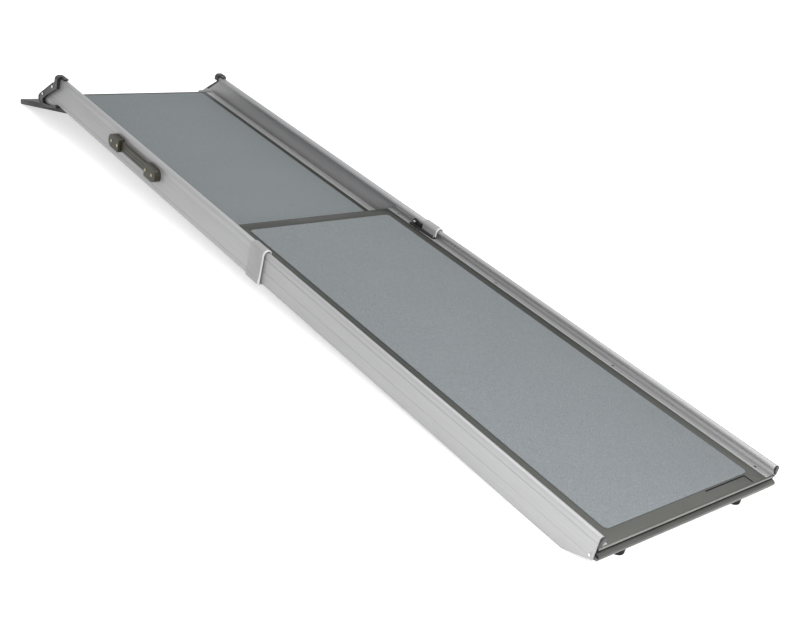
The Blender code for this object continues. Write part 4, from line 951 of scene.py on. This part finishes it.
def make_fasteners():
    spin = 0.3
    screw = head_mesh(*SCREW_SIZES, length=0.0074, recess=True)
    outer = UPPER_HALF + SEAT_GAP + CAP_THICKNESS
    for side, sign, _ in SIDES:
        for level, (along, z) in zip(("upper", "lower"), CAP_SCREWS):
            place = (sign * outer, UPPER_END + along, z)
            name = f"cap_fastener_{side}_{level}"
            node = f"cap_screw_{side}_{level}"
            fasten(name, screw, place, sign * QUARTER, spin, SCREW, "upper_section", "steel", node)
            spin += SCREW_TURN
    long_screw = head_mesh(*SCREW_SIZES, length=BOSS_THICKNESS - SEAT_GAP, recess=True)
    for level, tip, direction in HANDLE_ENDS:
        for number, back in enumerate(HANDLE_SCREWS, 1):
            place = (HANDLE_FACE - BOSS_THICKNESS, tip - direction * back, HANDLE_Z)
            name = f"handle_fastener_{level}_{number}"
            node = f"handle_screw_{level}_{number}"
            fasten(name, long_screw, place, -QUARTER, spin, BRASSY, "upper_section", "steel", node)
            spin += SCREW_TURN
    small = head_mesh(*BUMPER_SCREW_SIZES, length=0.0078, recess=True)
    for side, sign, _ in SIDES:
        place = (sign * LOWER_HALF, *BUMPER_SCREW)
        name = "bumper_fastener_" + side
        node = "bumper_screw_" + side
        fasten(name, small, place, sign * QUARTER, spin, SCREW, "lower_section", "steel", node)
        spin += SCREW_TURN
    rivet = head_mesh(*RIVET_SIZES, length=0.0044)
    places = [(sign * RIVET_X, y, -RIVET_SEAT) for sign in (-1, 1) for y in RIVET_YS]
    for number, place in enumerate(places, 1):
        name = f"rivet_{number}"
        node = f"deck_rivet_{number}"
        fasten(name, rivet, place, 0, 0, BLACK, "lower_section", "black_plastic", node)


# Pieces whose own solids are right, with softened edges and their finishes

PLATE_LEFT = 0.0555
PLATE_RIGHT = 0.158
PLATE_LOW = 0.0015
PLATE_HIGH = 0.020
PLATE_DEPTH = 0.0010
PLATE_SHADOW_GAP = 0.0020
NOSE_LOW = -0.0042
NOSE_GROOVE_END = 0.006
BAR_TOP = -0.0086


def in_plate_recess(middle, normal):
    """True for the walls and the floor of the nameplate's recess."""
    near = 0.0005
    across = PLATE_LEFT - near < middle.x < PLATE_RIGHT + near
    along = PLATE_LOW - near < middle.y < PLATE_HIGH + near
    return across and along and -PLATE_DEPTH - 0.0002 < middle.z < -0.00005


def in_nose_groove(middle, normal):
    return BAR_TOP < middle.z < NOSE_LOW and middle.y < NOSE_GROOVE_END


def on_nose_edge(middle, normal):
    """True for the rounded front of the nose, which gets a paler finish as a painted highlight."""
    return middle.z > NOSE_LOW and normal.y < -0.25


def make_plate():
    """A blank plate, set low in its recess, with the recess's far walls showing as a dark line; make_refined
    paints that line's shade near-black.
    """
    low = (PLATE_LEFT + SEAT_GAP, PLATE_LOW + SEAT_GAP, SEAT_GAP - PLATE_DEPTH)
    high = (PLATE_RIGHT - PLATE_SHADOW_GAP, PLATE_HIGH - PLATE_SHADOW_GAP, -2 * SEAT_GAP)
    plate = Piece("nameplate_look", boxes([(low, high)])).soften(0.0001, 2, 60)
    plate.finish(DECK, "lower_section", "deck_plastic", "nameplate_blank")


def make_refined():
    low = "lower_section"
    up = "upper_section"
    deck = refined("lower_deck", DECK, low, "deck_plastic", 0.0003)
    # painted shade: the nameplate recess's walls and floor get a near-black finish
    repaint(deck, PAINTED_SHADE, in_plate_recess)
    make_plate()
    bumper = refined("low_end_bumper", NOSE, low, "deck_plastic", 0.0004, 2, 30)
    # painted shade: the groove under the nose gets the near-black finish
    repaint(bumper, PAINTED_SHADE, in_nose_groove)
    # painted highlight along the nose's rounded front
    repaint(bumper, NOSE_PAINTED_HIGHLIGHT, on_nose_edge)
    refined("upper_deck", DECK, up, "deck_plastic", 0.0004)
    refined("top_lip", LIP, up, "black_plastic", 0.0007, 3)
    for side, _, _ in SIDES:
        refined("rubber_foot_" + side, FOOT, low, "rubber", 0.0002, 1, 60)
        refined("rail_end_plug_" + side, BLACK, low, "black_plastic", 0.0002, 1, 60)
        refined("glide_block_" + side, BLACK, low, "black_plastic", 0.0006)
        refined("travel_stop_" + side, BLACK, up, "black_plastic", 0.0006)
        refined("slide_strip_" + side, BLACK, up, "black_plastic", 0.0002)
        refined("end_bracket_" + side, RAIL, up, "rail_aluminium", 0.0005)
        refined("lip_pad_" + side, FOOT, up, "rubber", 0.0005)
    refined("latch_bracket", BLACK, up, "black_plastic", 0.0003)
    refined("latch_lever", BLACK, "latch", "black_plastic", 0.0003)
    refined("latch_pin", SCREW, up, "steel", 0.0001)
    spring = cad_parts["latch_spring"]
    spring.data.materials.clear()
    spring.data.materials.append(SCREW)


# Floor, light and camera

FLOOR_COLOUR = (0.90, 0.90, 0.90, 1)
FLOOR_GLOW = 0.64           # makes the lit floor white, as the camera and reflections see it
FLOOR_REACH = 40
WORLD_LEVEL = 0.45          # light on the object; the camera and reflections see white
WHITE = (1, 1, 1, 1)


def directly_seen(tree):
    """One for what the camera or a reflection sees, and zero for light that falls on the object."""
    path = tree.nodes.new("ShaderNodeLightPath")
    seen = tree.nodes.new("ShaderNodeMath")
    seen.operation = "MAXIMUM"
    tree.links.new(path.outputs["Is Camera Ray"], seen.inputs[0])
    tree.links.new(path.outputs["Is Glossy Ray"], seen.inputs[1])
    return seen.outputs["Value"]


def make_stage():
    floor_surface = bpy.data.materials.new("floor_pale")
    floor_surface.use_nodes = True
    tree = floor_surface.node_tree
    tree.nodes.clear()
    out = tree.nodes.new("ShaderNodeOutputMaterial")
    add = tree.nodes.new("ShaderNodeAddShader")
    diffuse = tree.nodes.new("ShaderNodeBsdfDiffuse")
    diffuse.inputs["Color"].default_value = FLOOR_COLOUR
    glow = tree.nodes.new("ShaderNodeEmission")
    glow.inputs["Color"].default_value = WHITE
    share = tree.nodes.new("ShaderNodeMath")
    share.operation = "MULTIPLY"
    share.inputs[1].default_value = FLOOR_GLOW
    tree.links.new(directly_seen(tree), share.inputs[0])
    tree.links.new(share.outputs["Value"], glow.inputs["Strength"])
    tree.links.new(diffuse.outputs["BSDF"], add.inputs[0])
    tree.links.new(glow.outputs["Emission"], add.inputs[1])
    tree.links.new(add.outputs["Shader"], out.inputs["Surface"])
    mesh = bpy.data.meshes.new("floor")
    shape = bmesh.new()
    bmesh.ops.create_grid(shape, x_segments=1, y_segments=1, size=FLOOR_REACH)
    shape.to_mesh(mesh)
    shape.free()
    mesh.materials.append(floor_surface)
    floor = bpy.data.objects.new("floor", mesh)
    bpy.context.scene.collection.objects.link(floor)


def area_lamp(name, place, aim, width, power):
    lamp = bpy.data.lights.new(name, "AREA")
    lamp.shape = "RECTANGLE"
    lamp.size = width
    lamp.size_y = width
    lamp.energy = power
    made = bpy.data.objects.new(name, lamp)
    made.location = place
    made.rotation_euler = (Vector(aim) - Vector(place)).to_track_quat("-Z", "Y").to_euler()
    bpy.context.scene.collection.objects.link(made)


def make_light():
    world = bpy.data.worlds.new("studio")
    bpy.context.scene.world = world
    world.use_nodes = True
    tree = world.node_tree
    tree.nodes.clear()
    out = tree.nodes.new("ShaderNodeOutputWorld")
    back = tree.nodes.new("ShaderNodeBackground")
    back.inputs["Color"].default_value = WHITE
    level = tree.nodes.new("ShaderNodeMapRange")
    level.inputs["To Min"].default_value = WORLD_LEVEL
    level.inputs["To Max"].default_value = 1.0
    tree.links.new(directly_seen(tree), level.inputs["Value"])
    tree.links.new(level.outputs["Result"], back.inputs["Strength"])
    tree.links.new(back.outputs["Background"], out.inputs["Surface"])
    area_lamp("key", (-0.95, -2.05, 1.0), (-0.1, -0.95, 0.0), 1.1, 29)
    area_lamp("fill", (0.2, -0.3, 3.0), (0.0, -0.2, 0.0), 2.4, 45)


def make_camera():
    camera = bpy.data.cameras.new("camera")
    camera.lens = CAMERA_LENS
    camera.sensor_width = 36
    camera.sensor_fit = "HORIZONTAL"
    camera.clip_start = 0.05
    camera.clip_end = 200
    made = bpy.data.objects.new("camera", camera)
    made.location = CAMERA_AT
    made.rotation_euler = [math.radians(angle) for angle in CAMERA_TURN]
    bpy.context.scene.collection.objects.link(made)
    bpy.context.scene.camera = made


make_camera()
make_lower_rails()
make_upper_rails()
make_collars()
make_mat("lower_mat_sheet", "lower_grip_mat", "lower_section", *LOWER_MAT)
make_mat("upper_mat_sheet", "upper_grip_mat", "upper_section", *UPPER_MAT)
make_end_caps()
make_handle()
make_latch_guard()
make_fasteners()
make_refined()
make_stage()
make_light()
bpy.context.scene.view_settings.view_transform = "Standard"
bpy.context.view_layer.update()
